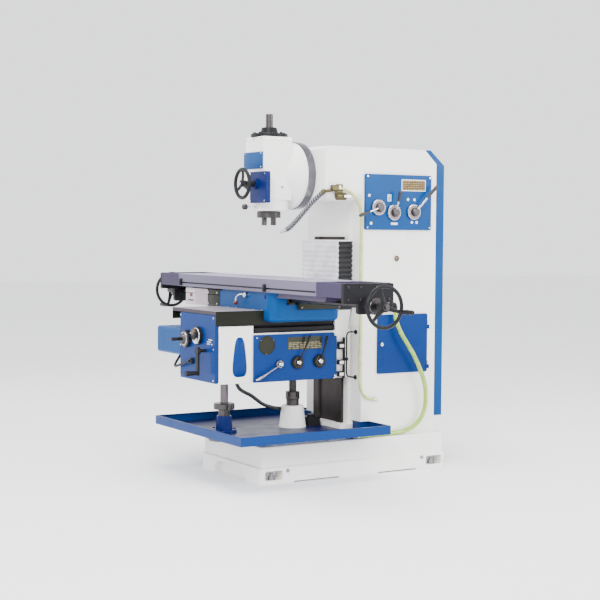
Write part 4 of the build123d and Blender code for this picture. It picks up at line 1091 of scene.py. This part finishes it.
def add_knee_panel_details():
    x = KNEE_PANEL
    y, z = CLUTCH_PORT
    port = disc(0.054, 0.0035, (x, y, z), RIGHT, 0.0015, 56)
    ring = ring_of(0.046, 0.0015, (x + 0.0036, y, z), RIGHT, 56, 8)
    screws = [cap_screw((x + 0.0035, y + 0.050 * math.cos(a), z + 0.050 * math.sin(a)), RIGHT, 0.0024)
              for a in (0.6, 2.5, 4.6)]
    piece("clutch_port_cover", "knee", {"olive_black": [port, ring], "ground_steel": screws})
    low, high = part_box("knee_side_panel")
    corner = panel_screws(x, (low.y, high.y), (low.z, high.z), 0.016, 0.005)
    plate = side_plate(x, (-0.400, -0.167), (0.740, 0.814))
    upper = printed_rows(x + 0.0012, FEED_PLATE_Y, (0.788, 0.812), 2, 13, 0.62)
    lower = printed_rows(x + 0.0012, FEED_PLATE_Y, (0.744, 0.784), 4, 9, 0.80)
    piece("feed_plate", "knee", {"plate_grey": [plate], "black_iron": upper, "plate_line": lower,
                                 "chrome": corner})


def add_knee_front_details():
    face = GEARBOX_FACE
    x, z = CROSS_DIAL
    ribs = []
    for i in range(40):
        turn = 2 * math.pi * i / 40
        outward = Vector((math.cos(turn), 0, math.sin(turn)))
        at = Vector((x, face - 0.006, z)) + outward * 0.0485
        ribs.append(bar(at, FRONT, tuple(outward), (0.0026, 0.0030, 0.014)))
    collar = ring_of(0.036, 0.0028, (x, face - 0.0265, z), (0, 1, 0), 48, 10)
    piece("cross_dial_ribs", "cross_screw", {"dark_steel": ribs, "chrome": [collar]})
    sx, sz = SELECTOR
    ring = ring_of(0.043, 0.0032, (sx, face - 0.0205, sz), (0, 1, 0), 56, 12)
    upper = crowned((sx - 0.010, face, sz + 0.020), FRONT, 0.020, 0.021, 0.034, 0.016, 0.040, 40, 10)
    lower = lathe([(0, 0.020), (0.019, 0.020), (0.019, 0.030), (0.0, 0.034)],
                  (sx + 0.012, face, sz - 0.022), FRONT, 36)
    stem = rod_between((sx + 0.012, face - 0.026, sz - 0.022), (sx + 0.046, face - 0.030, sz - 0.040), 0.004)
    pointer = rod_between((sx, face - 0.026, sz), (sx - 0.042, face - 0.032, sz + 0.014), 0.0038)
    piece("selector_knobs", "feed_selector",
          {"chrome": [ring, stem, pointer, lower], "brown_plastic": [upper]})
    low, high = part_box("gearbox_cover")
    bolts = [cap_screw((bx, low.y, bz), FRONT, 0.006)
             for bx in (low.x + 0.016, high.x - 0.016)
             for bz in (low.z + 0.016, (low.z + high.z) / 2, high.z - 0.016)]
    dashes = [soft_box((0.120 + 0.016 * i, face - 0.0004, 0.806 - 0.012 * j),
                       (0.131 + 0.016 * i, face + 0.001, 0.811 - 0.012 * j), 0)
              for i in range(4) for j in range(3) if (i + j) % 4]
    piece("gearbox_cover_screws", "knee", {"chrome": bolts, "label_white": dashes})
    lever = bent_rod([(-0.300, -0.812, 0.700), (-0.288, -0.832, 0.676), (-0.270, -0.862, 0.650),
                      (-0.252, -0.880, 0.630), (-0.226, -0.884, 0.630), (-0.140, -0.884, 0.652),
                      (-0.056, -0.884, 0.674)], 0.0075, 16)
    boss = crowned((-0.052, face + 0.0001, 0.675), FRONT, 0, 0.018, 0.016, 0.013, 0.021)
    piece("feed_reverse_lever", "knee", {"black_iron": [lever, boss]})


def add_switch_details():
    low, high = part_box("limit_switches")
    plates = [soft_box((high.x, low.y + 0.004, z - 0.010), (high.x + 0.002, high.y - 0.006, z + 0.008),
                       0.0008, 1) for z in (0.585, 0.654, 0.752)]
    rail = soft_box((0.207, -0.0095, 0.560), (0.228, -0.0035, 0.800), 0.001)
    piece("switch_plates", "knee", {"label_white": plates, "black_iron": [rail]})
    x = 0.246
    y = -0.006
    trip = bent_rod([(x, 0.050, 0.830), (x, 0.020, 0.834), (x, y, 0.826), (x, y, 0.780),
                     (x, y, 0.640), (x, y, 0.585), (x, 0.006, 0.566), (x, 0.058, 0.562)], 0.0045)
    stop = plug((x, y, 0.664), UP, 0.011, 0, 0.018)
    feet = [disc(0.014, 0.006, (x, 0.0595, z), FRONT) for z in (0.562, 0.830)]
    piece("trip_rod", "frame", {"black_iron": [trip, stop, *feet]})
    pipe = bent_rod([(0.262, 0.060, 1.010), (0.262, 0.040, 1.000), (0.258, 0.020, 0.975),
                     (0.254, 0.012, 0.930), (0.248, 0.010, 0.880), (0.240, 0.012, 0.850)], 0.0035)
    piece("oil_pipe", "frame", {"ground_steel": [pipe]})


# ---- saddle and table

def add_feed_housing():
    """Skins of the table feed housing on the saddle's left end; a plain tag stands for its marking."""
    front = SADDLE_FRONT - 0.0025
    back = -0.4655
    split = -0.456
    end = -0.7475
    # The olive-black skins are partly a black casting and partly painted shade under the table's overhang.
    dark = [soft_box((split, front, 0.9625), (-0.300, back, 1.0405), 0.004),
            soft_box((split, front, 1.030), (-0.300, -0.5265, 1.0665), 0.003)]
    bolts = [cap_screw((x, front, z), FRONT, 0.006) for x in (-0.438, -0.330) for z in (0.982, 1.048)]
    pale = [soft_box((end, front, 0.9625), (split - 0.001, back, 1.0405), 0.004),
            soft_box((end, front, 1.030), (split - 0.001, -0.5265, 1.0665), 0.003)]
    ribs = [soft_box((split - 0.012 - 0.0115 * i, front - 0.004, 0.972),
                     (split - 0.0065 - 0.0115 * i, front + 0.001, 1.060), 0.0015, 1) for i in range(14)]
    slot = soft_box((-0.712, front - 0.001, 0.986), (-0.640, front + 0.001, 0.994), 0)
    tag = soft_box((-0.690, front - 0.0015, 1.012), (-0.655, front + 0.001, 1.034), 0.001)
    piece("table_feed_housing", "saddle",
          {"screw_cover": pale + ribs, "olive_black": dark, "black_iron": [slot], "dark_red": [tag],
           "chrome": bolts})


def add_saddle_details():
    # The olive-black cover and jaws are partly a black bracket and partly painted shade under the table's
    # overhang.
    cover = soft_box((0.298, -0.388, 0.974), (0.336, -0.104, 1.040), 0.012)
    jaws = [soft_box((0.3085, -0.457, 1.003), (0.315, -0.443, 1.0415), 0.001),
            soft_box((0.3085, -0.405, 1.003), (0.315, -0.391, 1.0415), 0.001),
            soft_box((0.3085, -0.457, 1.003), (0.315, -0.391, 1.0155), 0.001)]
    screws = [cap_screw((0.336, y, z), RIGHT, 0.005) for y in (-0.372, -0.120) for z in (0.988, 1.026)]
    gibs = [hex_bolt((x, SADDLE_FRONT, 0.965), FRONT, 0.007) for x in (-0.20, -0.10, 0.10, 0.20)]
    eye = lathe([(0, 0), (0.012, 0), (0.010, 0.004), (0.0, 0.006)], (0.236, SADDLE_FRONT, 1.048), FRONT, 28)
    piece("saddle_feed_cover_and_shade", "saddle", {"olive_black": [cover, *jaws], "ground_steel": gibs + screws,
                                          "violet_blue": [eye]})


def add_table_details():
    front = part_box("table")[0].y
    # The black strip inside the front T-groove is painted shade in the groove.
    groove_shade_strip = soft_box((-0.7795, front + 0.0045, 1.0922), (0.7995, front + 0.0088, 1.1018), 0)
    dogs = []
    bolts = []
    for x in (-0.768, 0.271):
        dogs.append(soft_box((x - 0.011, front - 0.014, 1.078), (x + 0.011, front - 0.0003, 1.121), 0.002))
        bolts.append(hex_bolt((x, front - 0.014, 1.097), FRONT, 0.007))
    piece("trip_dogs_and_groove_shade", "table", {"black_iron": [groove_shade_strip, *dogs], "dark_steel": bolts})
    screws = [cap_screw((side * 1.069, y, z), (side, 0, 0), 0.0065) for side in (-1, 1)
              for y in (-0.548, -0.470, -0.370, -0.292) for z in (1.068, 1.132)]
    grease = [crowned((side * 1.093, SCREW_Y, SCREW_Z + 0.042), UP, 0, 0.005, 0.006, 0.003, 0.010, 16)
              for side in (-1, 1)]
    piece("bracket_screws", "table", {"dark_steel": screws, "bronze": grease})
    for side, label in ((-1, "left"), (1, "right")):
        ticks = []
        for i in range(60):
            turn = 2 * math.pi * i / 60
            outward = Vector((0, math.cos(turn), math.sin(turn)))
            at = Vector((side * 1.121, SCREW_Y, SCREW_Z)) + outward * 0.0441
            ticks.append(bar(at, (side, 0, 0), tuple(outward),
                             (0.0004, 0.0009, 0.012 if i % 5 == 0 else 0.007)))
        piece(f"table_dial_marks_{label}", "table_screw", {"black_iron": ticks})


def add_fittings():
    """Hose ends: dark elbow, column inlet, tray drain and conduit gland."""
    plate = disc(0.020, 0.008, (COLUMN_SIDE, 0.272, 0.990), RIGHT)
    elbow = bent_rod([(COLUMN_SIDE + 0.006, 0.272, 0.990), (0.320, 0.272, 0.991),
                      (0.336, 0.272, 0.990), (0.339, 0.272, 0.982), (0.338, 0.272, 0.968)], 0.0145, 24)
    collar = ring_of(0.0155, 0.003, (0.338, 0.272, 0.972), (0.13, 0.02, -1), 40, 10)
    inlet = soft_box((COLUMN_SIDE, 0.160, 0.423), (0.331, 0.178, 0.445), 0.004)
    drain = soft_box((0.311, -0.016, 0.212), (0.339, 0.014, 0.256), 0.004)
    gland = crowned((*CONDUIT_ROUTE[-1][:2], 0.260), UP, 0, 0.015, 0.007, 0.012, 0.012, 6)
    piece("hose_ends", "frame", {"black_iron": [plate, elbow, collar], "cream_paint": [inlet],
                                 "dark_steel": [drain, gland]}, replaces=("hose_fittings",))


add_camera()
add_studio()
add_hose("supply_line", "supply_hose", SUPPLY_ROUTE, 0.008, "supply_hose_wall")
add_hose("return_line", "return_hose", RETURN_ROUTE, 0.013, "return_hose_wall")
add_conduit()
paint_frame()
add_coolant_pipe()
add_hose_clamps()
add_way_cover()
add_table_wheels()
add_quill_wheel()
add_head_details()
add_swivel_scale()
add_clamp_knob()
add_gear_levers()
add_knee_levers()
add_lock_lever()
add_gear_panel_details()
add_column_details()
add_rear_cover_details()
add_base_details()
add_side_pod()
add_knee_panel_details()
add_knee_front_details()
add_switch_details()
add_feed_housing()
add_saddle_details()
add_table_details()
add_fittings()
